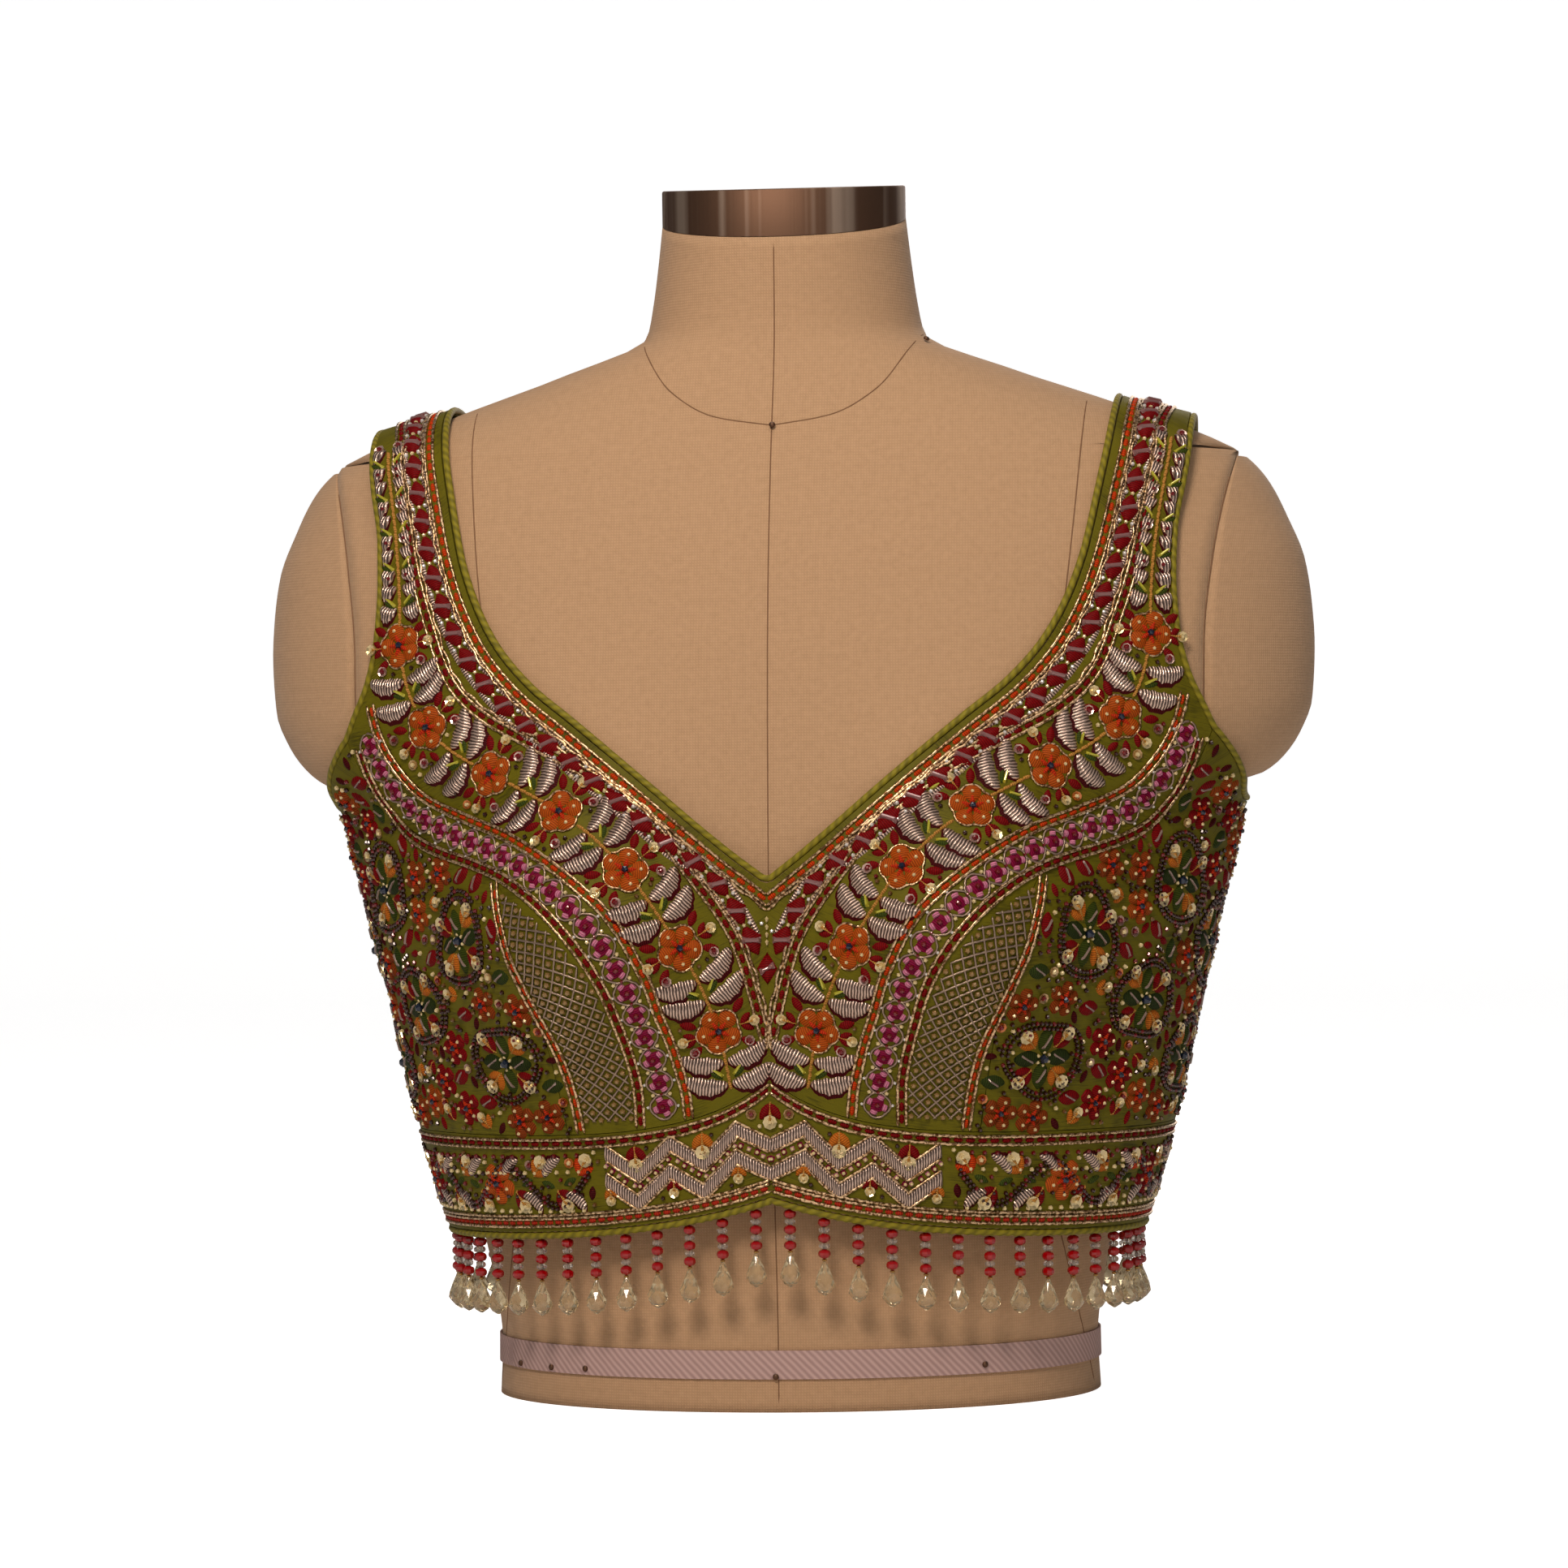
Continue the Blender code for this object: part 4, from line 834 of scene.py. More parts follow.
def cloth_shell(name, points, quads, uv, material, low=0.0, thick=WALL):
    """Cloth over surface points: an inner and an outer skin, joined along each edge that one face uses."""
    count = len(points)
    a, b, c = (points[quads[:, k]] for k in range(3))
    if np.sum(np.cross(b - a, c - a) * CLOTH.normal(a)) < 0:
        quads = quads[:, ::-1]
    edges = np.concatenate([quads[:, [k, (k + 1) % 4]] for k in range(4)])
    free = edges[~np.isin(edges[:, 0] * count + edges[:, 1], edges[:, 1] * count + edges[:, 0])]
    rims = np.stack([free[:, 1] + count, free[:, 0] + count, free[:, 0], free[:, 1]], axis=-1)
    skins = np.concatenate([off_cloth(points, low), off_cloth(points, low + thick)])
    obj = surface(name, skins, [quads[:, ::-1], quads + count, rims], material, np.concatenate([uv, uv]))
    obj.data.set_sharp_from_angle(angle=math.radians(50))
    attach(obj, "root")
    return obj


# Raw silk: plain woven, with a soft sheen and slubs along the weft; dyed olive, so it dips to brown in
# the shadows and to yellow-green where it catches light.
silk = finish_of("olive_raw_silk")
uv = add(silk, "TexCoord").outputs["UV"]
slub_map = add(silk, "Mapping", {"Vector": uv, "Scale": (0.12, 1.6, 1.0)})
slub = add(silk, "TexNoise", {"Vector": slub_map.outputs["Vector"], "Scale": 1.0, "Detail": 4.0})
patch = add(silk, "TexNoise", {"Vector": uv, "Scale": 0.05, "Detail": 3.0})
mixed = add(silk, "Math", {0: slub.outputs["Fac"], 1: patch.outputs["Fac"]}, operation="ADD")
tone = add(silk, "ValToRGB", {"Fac": mixed.outputs["Value"]})
for stop, at, colour in zip(tone.color_ramp.elements, (0.7, 1.35), ("#413C06", "#625B0A")):
    stop.position, stop.color = at, linear(colour)
bump = add(silk, "Bump", {"Strength": 0.4, "Distance": 0.0004, "Height": slub.outputs["Fac"]})
finish(silk, {
    "Base Color": tone.outputs["Color"], "Normal": bump.outputs["Normal"], "Roughness": 0.55,
    "Specular IOR Level": 0.12, "Sheen Weight": 0.03, "Sheen Roughness": 0.4,
    "Sheen Tint": linear("#B8B05A"),
})

# The front centre's halves share the points of the centre line below the neckline.
mirror = np.array((-1, 1, 1))
BOTH_SIDES = (1, 1, 1), mirror
half = centre_panel("front")
rows, columns = half.shape[:2]
quads = np.concatenate([grid_faces(rows, columns), grid_faces(rows, columns)[:, ::-1] + rows * columns])
shared = np.arange(LOWER_ROWS + 1) * columns
renumber = np.arange(2 * rows * columns)
renumber[shared + rows * columns] = shared
used, quads = np.unique(renumber[quads], return_inverse=True)
points = np.concatenate([half.reshape(-1, 3), (half * mirror).reshape(-1, 3)])[used]
uv = woven_mm(half)
uv = np.concatenate([uv, uv * (-1, 1)])[used]
front_centre = cloth_shell("front_centre_silk", points, quads.reshape(-1, 4), uv, silk)
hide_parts("front_centre")


def cut(obj, piece, rests_on, with_pieces=()):
    """Takes a panel, its piece, what it rests on and any other pieces, and does nothing with them."""


cut(front_centre, "front_centre", ["form_torso", "form_shoulder_left", "form_shoulder_right"])
for side, word in ((1, "left"), (-1, "right")):
    for face in ("front", "back"):
        grids = {f"{face}_side": side_panel(face)}
        if face == "back":
            grids["back_centre"] = centre_panel("back")
            grids["back_centre"][..., 0] = np.maximum(grids["back_centre"][..., 0], SEAM / 2)
            grids["back_band"] = band_strip("back")
            grids["back_band"][..., 0] = np.maximum(grids["back_band"][..., 0], SEAM / 2)
        for piece, grid in grids.items():
            grid = grid * (side, 1, 1)
            faces = grid_faces(*grid.shape[:2])
            panel = cloth_shell(f"{piece}_{word}_silk", grid.reshape(-1, 3), faces, woven_mm(grid), silk)
            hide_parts(f"{piece}_{word}")
            cut(panel, piece, ["form_torso"])
half = band_strip("front")
grid = np.concatenate([(half * mirror)[:, :0:-1], half], axis=1)
faces = grid_faces(*grid.shape[:2])
front_band = cloth_shell("front_band_silk", grid.reshape(-1, 3), faces, woven_mm(grid), silk)
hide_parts("front_band")
cut(front_band, "front_band", ["form_torso"])


# Piping
# Bias-cut green silk rolled over a cord and sewn along the neckline, both armholes and the hem. The
# hem's is twisted like a rope.
def beside_edge(edge, outward_sign, radius=PIPING_RADIUS):
    """A cord's centre line beside a cloth edge, at the middle of the cloth's thickness."""
    across = unit(np.cross(CLOTH.normal(edge), np.gradient(edge, axis=0)))
    return off_cloth(edge, WALL / 2) + outward_sign * across * (SEAM + radius)


def ring_tube(name, path, radius, material, sides=10, squash=0.0, twist_mm=0.0, closed=False):
    """A single cord that lies on the cloth's edge, joined end to start if it is closed."""
    out = CLOTH.normal(path)
    if closed:
        path, out = np.concatenate([path, path[:2]]), np.concatenate([out, out[:2]])
    return tubes(name, [path], [out], [radius], material, sides, squash, twist_mm)


# Bias silk, folded over a cord: matt at its fold, with fine creases square to the roll.
bias_silk = finish_of("green_bias_silk")
uv = add(bias_silk, "TexCoord").outputs["UV"]
waves = {"Vector": uv, "Scale": 0.14, "Distortion": 3.0}
pucker = add(bias_silk, "TexWave", waves, bands_direction="DIAGONAL")
tone = add(bias_silk, "ValToRGB", {"Fac": pucker.outputs["Fac"]})
for stop, colour in zip(tone.color_ramp.elements, ("#6A600C", "#8A7E16")):
    stop.color = linear(colour)
bump = add(bias_silk, "Bump", {"Strength": 0.35, "Distance": 0.0003, "Height": pucker.outputs["Fac"]})
finish(bias_silk, {
    "Base Color": tone.outputs["Color"], "Normal": bump.outputs["Normal"], "Roughness": 0.6,
    "Specular IOR Level": 0.25, "Sheen Weight": 0.05,
})
front, back = centre_panel("front"), centre_panel("back")
edge = np.concatenate([front[LOWER_ROWS:, 0], back[LOWER_ROWS:, 0][::-1][1:]])
line = beside_edge(edge, 1)
line[0] -= line[0, 0] / (line[1, 0] - line[0, 0]) * (line[1] - line[0])
line[-1, 0] = SEAM / 2
line = np.concatenate([line[::-1] * mirror, line[1:]])
pipings = {"neck_piping": ring_tube("neck_piping_silk", line, PIPING_RADIUS, bias_silk)}
top = LOWER_ROWS + MIDDLE_ROWS
loop = [front[top + 1 :, -1][::-1], side_panel("front")[-1][::-1], side_panel("back")[-1][1:]]
loop = np.concatenate([*loop, back[top + 1 : -1, -1]])
line = beside_edge(np.concatenate([loop[-1:], loop, loop[:1]]), 1)[1:-1]
for side, word in ((1, "left"), (-1, "right")):
    name = f"armhole_piping_{word}"
    pipings[name] = ring_tube(name + "_silk", line * (side, 1, 1), PIPING_RADIUS, bias_silk, closed=True)
line = beside_edge(np.concatenate([band_strip("front")[0], band_strip("back")[0][::-1][1:]]), -1)
line[0, 0], line[-1, 0] = 0, SEAM / 2
line = np.concatenate([line[::-1] * mirror, line[1:]])


def interpolated(at, walked, points):
    """Points at these lengths along others whose own lengths are known."""
    return np.stack([np.interp(at, walked, points[:, k]) for k in range(3)], axis=-1)


steps = walk(line)
line = interpolated(np.linspace(0, steps[-1], HEM_POINTS), steps, line)
pipings["hem_piping"] = ring_tube("hem_piping_silk", line, PIPING_RADIUS, bias_silk, 8, 0.16, 7.0)
for node, piping in pipings.items():
    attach(piping, "root")
    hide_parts(node)


# Gold cords
# Every border is edged with twisted gilt cord, couched down along the neckline, round the bust and
# along the band. Those beside the lozenges and round the zigzags are double.
STRAP_RUN = 0.085
CORD_RADIUS = 0.00066
CORD_TWIST_MM = 3.0
CORD_STEP = 0.0011
CORD_WAVE = 0.011
LINE_STEP = 0.0006
BORDER_COLUMNS = ("half_width", "height")
BORDERS = {
    # beyond the lozenges, down to the centre front
    "bust_inner": (
        (0.0004, 0.144), (0.0048, 0.162), (0.0088, 0.1765), (0.013, 0.188), (0.0197, 0.1995),
        (0.032, 0.2155), (0.0465, 0.2345), (0.063, 0.248), (0.0805, 0.2585), (0.0985, 0.268),
        (0.112, 0.2755), (0.124, 0.2855), (0.131, 0.2965), (0.136, 0.31), (0.141, 0.325), (0.145, 0.34),
        (0.148, 0.354), (0.151, 0.367), (0.1535, 0.379),
    ),
    # between the flowers and the pink squares
    "bust_middle": (
        (0.0332, 0.13), (0.0345, 0.1345), (0.038, 0.147), (0.043, 0.16), (0.0465, 0.1715), (0.051, 0.181),
        (0.056, 0.1905), (0.062, 0.199), (0.0705, 0.207), (0.0805, 0.215), (0.093, 0.2235), (0.105, 0.23),
        (0.1175, 0.235), (0.132, 0.2415), (0.143, 0.2485), (0.151, 0.257), (0.157, 0.266), (0.161, 0.276),
        (0.1625, 0.283),
    ),
    # between the pink squares and the lattice, and on over the side seam
    "bust_outer": (
        (0.0515, 0.125), (0.0518, 0.1305), (0.054, 0.1415), (0.058, 0.1545), (0.0625, 0.1675),
        (0.069, 0.18), (0.0765, 0.19), (0.086, 0.2), (0.096, 0.208), (0.107, 0.2145), (0.119, 0.219),
        (0.132, 0.223), (0.145, 0.229), (0.1535, 0.2375), (0.16, 0.247), (0.165, 0.257), (0.168, 0.266),
    ),
    # beyond the lattice, along the side seam
    "seam_side": (
        (0.0775, 0.125), (0.0797, 0.135), (0.084, 0.1475), (0.09, 0.1595), (0.096, 0.172), (0.101, 0.183),
        (0.104, 0.1935), (0.1062, 0.204), (0.107, 0.212),
    ),
}
BACK_OFFSETS = {"bust_inner": 0.0212, "bust_middle": 0.047, "bust_outer": 0.0625}


def onto_cloth(points):
    """Points moved along the section formula's slope until they lie on the inside of the cloth."""
    for _ in range(3):
        x, y, z = points[..., 0], points[..., 1], points[..., 2]
        depth = np.where(y < 0, CLOTH.front_depth(x, z), CLOTH.size("back", z))
        wide = np.abs(x) / CLOTH.size("half_width", z)
        deep = np.abs(y) / depth
        level = (wide**ROUNDNESS + deep**ROUNDNESS) ** (1 / ROUNDNESS)
        reach = np.sqrt(x**2 + y**2)
        normal = CLOTH.normal(points)
        outward = np.maximum((normal * points)[..., :2].sum(axis=-1) / np.maximum(reach, 1e-6), 0.3)
        points = points + normal * (reach * (1 / level - 1) * outward)[..., None]
    return points


def skin(x, q):
    """The cloth's inner surface: q is the height up to the strap's turn, then runs over and down the back."""
    x, q = np.broadcast_arrays(np.asarray(x, float), np.asarray(q, float))
    top = STRAP_TURN + STRAP_RUN
    face_q = np.where(q <= top, q, 2 * top - q)
    share = np.clip((face_q - STRAP_TURN) / STRAP_RUN, 0, 1)
    height = np.minimum(face_q, STRAP_TURN)
    both = {}
    for face in ("front", "back"):
        over = over_shoulder(x, share, face)
        both[face] = np.where((face_q > STRAP_TURN)[..., None], over, CLOTH.at(x, height, face))
    return np.where((q <= top)[..., None], both["front"], both["back"])


def strap_q(x, z):
    """The q that gives this height at this half width, on the front."""
    rise = np.maximum(CLOTH.ridge(x) - STRAP_TURN, 1e-4)
    share = np.arcsin(np.clip((z - STRAP_TURN) / rise, 0, 1)) / (math.pi / 2)
    return np.where(z <= STRAP_TURN, z, STRAP_TURN + STRAP_RUN * share)


class Line:
    """A line on the cloth, walked by its length, with the directions ahead, out and aside.

    The line is smoothed by a bell a few millimetres wide. Aside is away from the centre line for a line
    that runs up the wearer's left front.
    """

    def __init__(self, points, soft=0.004):
        walked = walk(points)
        count = max(int(walked[-1] / LINE_STEP), 12)
        points = interpolated(np.linspace(0, walked[-1], count), walked, points)
        reach = int(3 * soft / LINE_STEP)
        if reach and count > 2:
            bell = np.exp(-((np.arange(-reach, reach + 1) * LINE_STEP / soft) ** 2))
            bell /= bell.sum()
            ahead = 2 * points[-1] - points[::-1][1 : reach + 1]
            before = 2 * points[0] - points[1 : reach + 1][::-1]
            ahead, before = ahead[:reach], before[-reach:]
            padded = np.concatenate([before, points, ahead])
            points = np.stack([np.convolve(padded[:, k], bell, "same") for k in range(3)], axis=-1)
            points = points[len(before) : len(before) + count]
        self.points = onto_cloth(points)
        self.walked = walk(self.points)
        self.length = self.walked[-1]
        self.outs = CLOTH.normal(self.points)

    def at(self, s):
        """Points, directions ahead, directions out and directions aside at these lengths along the line."""
        s = np.asarray(s, float)
        slopes = np.gradient(self.points, self.walked, axis=0)
        point, out, ahead = (interpolated(s, self.walked, v) for v in (self.points, self.outs, slopes))
        out = unit(out)
        ahead = unit(ahead - out * (ahead * out).sum(axis=-1, keepdims=True))
        return point, ahead, out, np.cross(ahead, out)

    def beside(self, s, aside):
        """Points on the cloth this far aside of the line."""
        point, _, _, side = self.at(s)
        return onto_cloth(point + side * np.asarray(aside)[..., None])


def over_both(front, back):
    """A line from the centre front over the shoulder to the centre back, from heights and half widths."""
    (front_z, front_x), (back_z, back_x) = front, back
    low = front_z < CLOTH.ridge(front_x) - 0.0005
    q, x = strap_q(front_x[low], front_z[low]), front_x[low]
    down = back_z < CLOTH.ridge(back_x) - 0.0005
    back_q = 2 * (STRAP_TURN + STRAP_RUN) - strap_q(back_x[down], back_z[down])
    q, x = np.concatenate([q, back_q[::-1]]), np.concatenate([x, back_x[down][::-1]])
    return Line(skin(x, q))


def front_border(name):
    """Heights and half widths of a border in the table, with points a millimetre apart."""
    rows = BORDERS[name]
    x, z = column(rows, BORDER_COLUMNS, "half_width"), column(rows, BORDER_COLUMNS, "height")
    if name != "bust_inner":
        x, z = np.concatenate([[2 * x[0] - x[1]], x]), np.concatenate([[band_top(x[0], "front") + 0.0006], z])
    walked = np.concatenate([[0], np.cumsum(np.hypot(np.diff(x), np.diff(z)))])
    even = np.linspace(0, walked[-1], int(walked[-1] / 0.001))
    return smooth(even, walked, z), smooth(even, walked, x)


def to_centre(z, x):
    """An outline's heights and half widths, run on straight until it meets the centre line."""
    foot = z[0] - x[0] * (z[1] - z[0]) / (x[1] - x[0])
    return np.concatenate([[foot], z]), np.concatenate([[0.0], x])


def neck_line(distance):
    """A line this far inside the edge of the cloth, all along the neckline."""
    outlines = (offset_outline(NECKLINE[face], PIPING_SPACE + distance) for face in ("front", "back"))
    return over_both(*(to_centre(*outline) for outline in outlines))


def back_border(name):
    """A border of the back: beside the neckline, as far as the armhole."""
    z, x = to_centre(*offset_outline(NECKLINE["back"], BACK_OFFSETS[name]))
    inside = x < arm_x(z, "back") - 0.003
    inside &= np.cumprod(inside).astype(bool)
    return z[inside], x[inside]


strap_z = np.linspace(0.38, 0.3895, 10)
z, x = front_border("bust_inner")
inner_front = np.concatenate([z, strap_z[1:]]), np.concatenate([x, 0.1537 + 0 * strap_z[1:]])
lines = {"bust_inner": over_both(inner_front, back_border("bust_inner"))}
for name in ("bust_middle", "bust_outer"):
    z, x = front_border(name)
    lines[name] = Line(CLOTH.at(x, z, "front"))
    z, x = back_border(name)
    lines[name + "_back"] = Line(CLOTH.at(x, z, "back")[::-1])
z, x = front_border("seam_side")
lines["seam_side"] = Line(CLOTH.at(x, z, "front"))


def band_line(above, from_top=False):
    """A level line round the left half of the band, so far over the hem or under the band's top."""
    turn = np.linspace(0, math.pi - 0.002, 900)
    level = np.full(len(turn), HEM)
    for _ in range(4):
        x, y = CLOTH.around(turn, level)[..., 0], turn < math.pi / 2
        edge = band_top(x, "front") if from_top else hem(x, "front")
        flat = BAND_TOP if from_top else HEM
        level = np.where(y, edge, flat) + above
    return Line(CLOTH.around(turn, level), soft=0.002)


# Gilt thread: polished, thin gold over silver wire, so it is a true metal.
gilt = finish_of("gilt_thread")
# Its small bright glints and the dark gaps between them are painted into its colour by a fine noise.
grain = add(gilt, "TexNoise", {"Scale": 900.0, "Detail": 2.0})
place(gilt, grain, "Vector", add(gilt, "TexCoord").outputs["Object"])
tone = add(gilt, "ValToRGB", {"Fac": grain.outputs["Fac"]})
for stop, at, colour in zip(tone.color_ramp.elements, (0.42, 0.58), ("#6A4A2A", "#EDCBA0")):
    stop.position, stop.color = at, linear(colour)
finish(gilt, {"Base Color": tone.outputs["Color"], "Metallic": 0.85, "Roughness": 0.32})


def laid_cords(name, paths, material, radius, sides, squash):
    """Twisted cords on the cloth along these paths, on both sides."""
    laid = [off_cloth(path * flip, WALL + 0.75 * radius) for path in paths for flip in BOTH_SIDES]
    outs = [CLOTH.normal(path) for path in laid]
    obj = tubes(name, laid, outs, [radius] * len(laid), material, sides, squash, CORD_TWIST_MM)
    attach(obj, "root")
    return obj


def couched(name, runs, material):
    """Cords all along lines on the cloth: each so far aside of its line, swinging by a sine of its length."""
    paths = []
    for line, aside, wave in runs:
        s = np.linspace(0.0, line.length, max(int(line.length / CORD_STEP), 4))
        paths.append(line.beside(s, aside + wave * np.sin(s * 2 * math.pi / CORD_WAVE)))
    return laid_cords(name, paths, material, CORD_RADIUS, 5, 0.22)


runs = [(neck_line(d), 0.0, w) for d, w in ((0.0028, 0.0), (0.0062, 0.0), (0.0074, 0.0004))]
runs += [(lines["bust_inner"], d, w) for d, w in ((-0.0031, 0.0004), (-0.0017, 0.0), (0.0017, 0.0))]
for name in ("bust_middle", "bust_middle_back", "bust_outer", "bust_outer_back"):
    runs += [(lines[name], d, 0.0) for d in (-0.0016, 0.0016)]
runs += [(lines["seam_side"], d, 0.0) for d in (-0.0015, 0.0015)]
couched("border_cords", runs, gilt)
runs = [(band_line(d), 0.0, 0.0) for d in (0.0022, 0.0066, 0.0052)]
runs += [(band_line(d, True), 0.0, 0.0) for d in (-0.0018, -0.005)]
couched("band_cords", runs, gilt)


# Satin dashes
# Short raised bars of floss between each pair of gold cords: orange-red beside the neckline and round
# the flowers, crimson round the bust, the lattice and the band.
def pad(outline, bend=0.0, rows=9, columns=5, flat=0.0, sink=0.25):
    """A raised pad two units long: its width follows the outline, its back is round across and at its ends.

    Bend curves it aside by a parabola of its length. Its rim lies below the cloth's face.
    """
    u = -np.cos(np.linspace(0, math.pi, rows))[:, None]
    v = np.linspace(-1, 1, columns)
    width = np.maximum(outline(u), 0.02)
    ends = np.clip((1 - np.abs(u)) / 0.18, 0, 1) ** 0.5
    crown = np.sqrt(np.maximum(1 - v**2, 0)) * (flat + (1 - flat) * np.sqrt(np.minimum(width, 1))) * ends
    across, height = v * width + bend * (u**2 - 0.4), crown * (1 + sink) - sink
    points = np.stack(np.broadcast_arrays(u, across, height), axis=-1)
    return {"points": points.reshape(-1, 3), "faces": [grid_faces(rows, columns)]}


def stamp(shape, line, s, aside, size, colour, turn=0.0, lift=0.0):
    """Copies of a shape on a line, each with half length, half width and height, turned from ahead."""
    s, aside, turn = np.broadcast_arrays(np.atleast_1d(np.asarray(s, float)), aside, turn)
    point, ahead, out, side = line.at(s)
    return copies(shape, onto_cloth(point + side * aside[:, None]), ahead, out, size, colour, turn, lift)


def copies(shape, at, ahead, out, size, colour, turn=0.0, lift=0.0):
    """Copies of a shape at these points of the cloth, turned from ahead towards aside by an angle."""
    side = np.cross(ahead, out)
    turn = np.broadcast_to(np.asarray(turn, float), (len(at),))[:, None]
    a, b = np.cos(turn) * ahead + np.sin(turn) * side, np.cos(turn) * side - np.sin(turn) * ahead
    size = np.broadcast_to(np.asarray(size, float), (len(at), 3))
    local = shape["points"] * size[:, None]
    points = at[:, None] + local[..., :1] * a[:, None] + local[..., 1:2] * b[:, None]
    count = len(shape["points"])
    first = np.arange(len(at))[:, None, None] * count
    tint = np.array([linear(c) for c in np.broadcast_to(np.atleast_1d(colour), (len(at),))])
    return {
        "points": points.reshape(-1, 3),
        "height": (lift + local[..., 2]).ravel(),
        "uv": 1000 * local[..., :2].reshape(-1, 2),
        "tint": np.repeat(tint, count, axis=0),
        "faces": [(f + first).reshape(-1, f.shape[1]) for f in shape["faces"]],
    }


def sewn(name, stamps, material, middle=(), smooth_shading=True):
    """One mesh of many shapes laid on the cloth: stamps on both sides, and the middle's ones once."""
    pairs = [(shape, flip) for shape in stamps for flip in BOTH_SIDES]
    pairs += [(shape, BOTH_SIDES[0]) for shape in middle]
    corners, first = {3: [], 4: []}, 0
    for shape, flip in pairs:
        for f in shape["faces"]:
            corners[f.shape[1]].append((f if flip[0] > 0 else f[:, ::-1]) + first)
        first += len(shape["points"])
    keys = ("height", "uv", "tint")
    height, uv, tint = (np.concatenate([shape[key] for shape, _ in pairs]) for key in keys)
    points = onto_cloth(np.concatenate([shape["points"] * flip for shape, flip in pairs]))
    faces = [np.concatenate(f) for f in corners.values() if f]
    obj = surface(name, off_cloth(points, WALL + height), faces, material, uv, tint, smooth_shading)
    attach(obj, "root")
    return obj


# Silk floss laid side by side over padding: its shine is soft, broken by the stripes of the stitches,
# which are drawn at 0.9 mm where the real strands are about a third of that.
floss = finish_of("satin_stitched_floss")
uv = add(floss, "TexCoord").outputs["UV"]
strand = add(floss, "TexWave", {"Vector": uv, "Scale": 0.36, "Distortion": 1.5}, bands_direction="X")
dye = add(floss, "Attribute", attribute_name="tint")
deep = add(floss, "Math", {0: strand.outputs["Fac"], 1: 0.55, 2: 0.5}, operation="MULTIPLY_ADD")
dyed = add(floss, "VectorMath", {0: dye.outputs["Color"], "Scale": deep.outputs["Value"]}, operation="SCALE")
bump = add(floss, "Bump", {"Strength": 0.5, "Distance": 0.0003, "Height": strand.outputs["Fac"]})
finish(floss, {
    "Base Color": dyed.outputs["Vector"], "Normal": bump.outputs["Normal"], "Roughness": 0.55,
    "Specular IOR Level": 0.08,
})
ORANGE, CRIMSON, MAROON, MAGENTA, PINK = "#C83C0A", "#7A0509", "#460509", "#800A36", "#D07C98"
DASH_PITCH, DASH_TRIM = 0.005, 0.003
THIN_DASH = (0.0023, 0.001, 0.0008)
dash = pad(lambda u: (1 - u**4) ** 0.5, rows=4, columns=4, flat=0.6)


def dashes(line, colour=CRIMSON, size=(0.0023, 0.0011, 0.0008), pitch=DASH_PITCH):
    """A row of dashes all along a line, evenly spaced."""
    s = np.arange(DASH_TRIM, line.length - DASH_TRIM, pitch)
    return stamp(dash, line, s, 0.0, size, colour)


rows = [dashes(neck_line(0.0045), ORANGE), dashes(lines["bust_inner"])]
rows += [dashes(lines[n], ORANGE, THIN_DASH) for n in ("bust_middle", "bust_middle_back")]
rows += [dashes(lines[n]) for n in ("bust_outer", "bust_outer_back")]
rows.append(dashes(lines["seam_side"], ORANGE, THIN_DASH))
rows.append(dashes(band_line(-0.0034, True)))
rows.append(dashes(band_line(0.0037), "#B9301B", (0.0018, 0.0012, 0.0008), 0.004))
sewn("satin_dashes", rows, floss)


# Lozenge border
# Diamonds of crimson floss on a couched silver ground all along the neckline, each tied down by one
# clear glass bugle, with a seed bead in every gap. The two sides run together below the neckline.
LOZENGE_PITCH = 0.0128
LOZENGE_SIZE = (0.0064, 0.0046, 0.0015)
MIDDLE_LOZENGE = [0.0265]
SILVER, CHAMPAGNE = "#B9A79A", "#D9C38F"
low_table = ((0.0048, 0.184), (0.0085, 0.1915), (0.0125, 0.1995), (0.0182, 0.2085), (0.0262, 0.2165))
z, x = offset_outline(NECKLINE["front"], PIPING_SPACE + 0.0112)
beyond = z > 0.2245
x = np.concatenate([[row[0] for row in low_table], x[beyond]])
z = np.concatenate([[row[1] for row in low_table], z[beyond]])
lozenge_line = over_both((z, x), offset_outline(NECKLINE["back"], PIPING_SPACE + 0.0112))
s = np.arange(0.004, lozenge_line.length - 0.004, LOZENGE_PITCH)
lozenge = pad(lambda u: (1 - np.abs(u)) ** 0.8, rows=9, columns=5, flat=0.5)
centre_line = Line(CLOTH.at(0 * np.linspace(0, 1, 40), np.linspace(0.15, 0.2, 40), "front"))
sewn(
    "crimson_lozenges",
    [stamp(lozenge, lozenge_line, s, 0.0, LOZENGE_SIZE, CRIMSON, lift=0.0004)],
    floss,
    [stamp(lozenge, centre_line, MIDDLE_LOZENGE, 0.0, LOZENGE_SIZE, CRIMSON, lift=0.0004)],
)


# Glass on the neckline
# Clear bugles across the lozenges, silver couching in scallops beside them, and champagne and clear
# seed beads between. The beads are cut glass with a silvered hole.
def dome(sides=5):
    """A bead seen from outside: a rim at the cloth, a wider middle and a top point, all one unit in size."""
    around = np.arange(sides) * 2 * math.pi / sides
    rings = [(0.88, -0.15), (1.0, 0.45), (0.62, 0.88)]
    points = [(r * math.cos(a), r * math.sin(a), h) for r, h in rings for a in around]
    top = np.stack([2 * sides + np.arange(sides), 2 * sides + (np.arange(sides) + 1) % sides], axis=-1)
    top = np.concatenate([top, np.full((sides, 1), 3 * sides)], axis=1)
    faces = [grid_faces(3, sides, True)[:, ::-1], top[:, ::-1]]
    return {"points": np.array(points + [(0, 0, 1.0)]), "faces": faces}


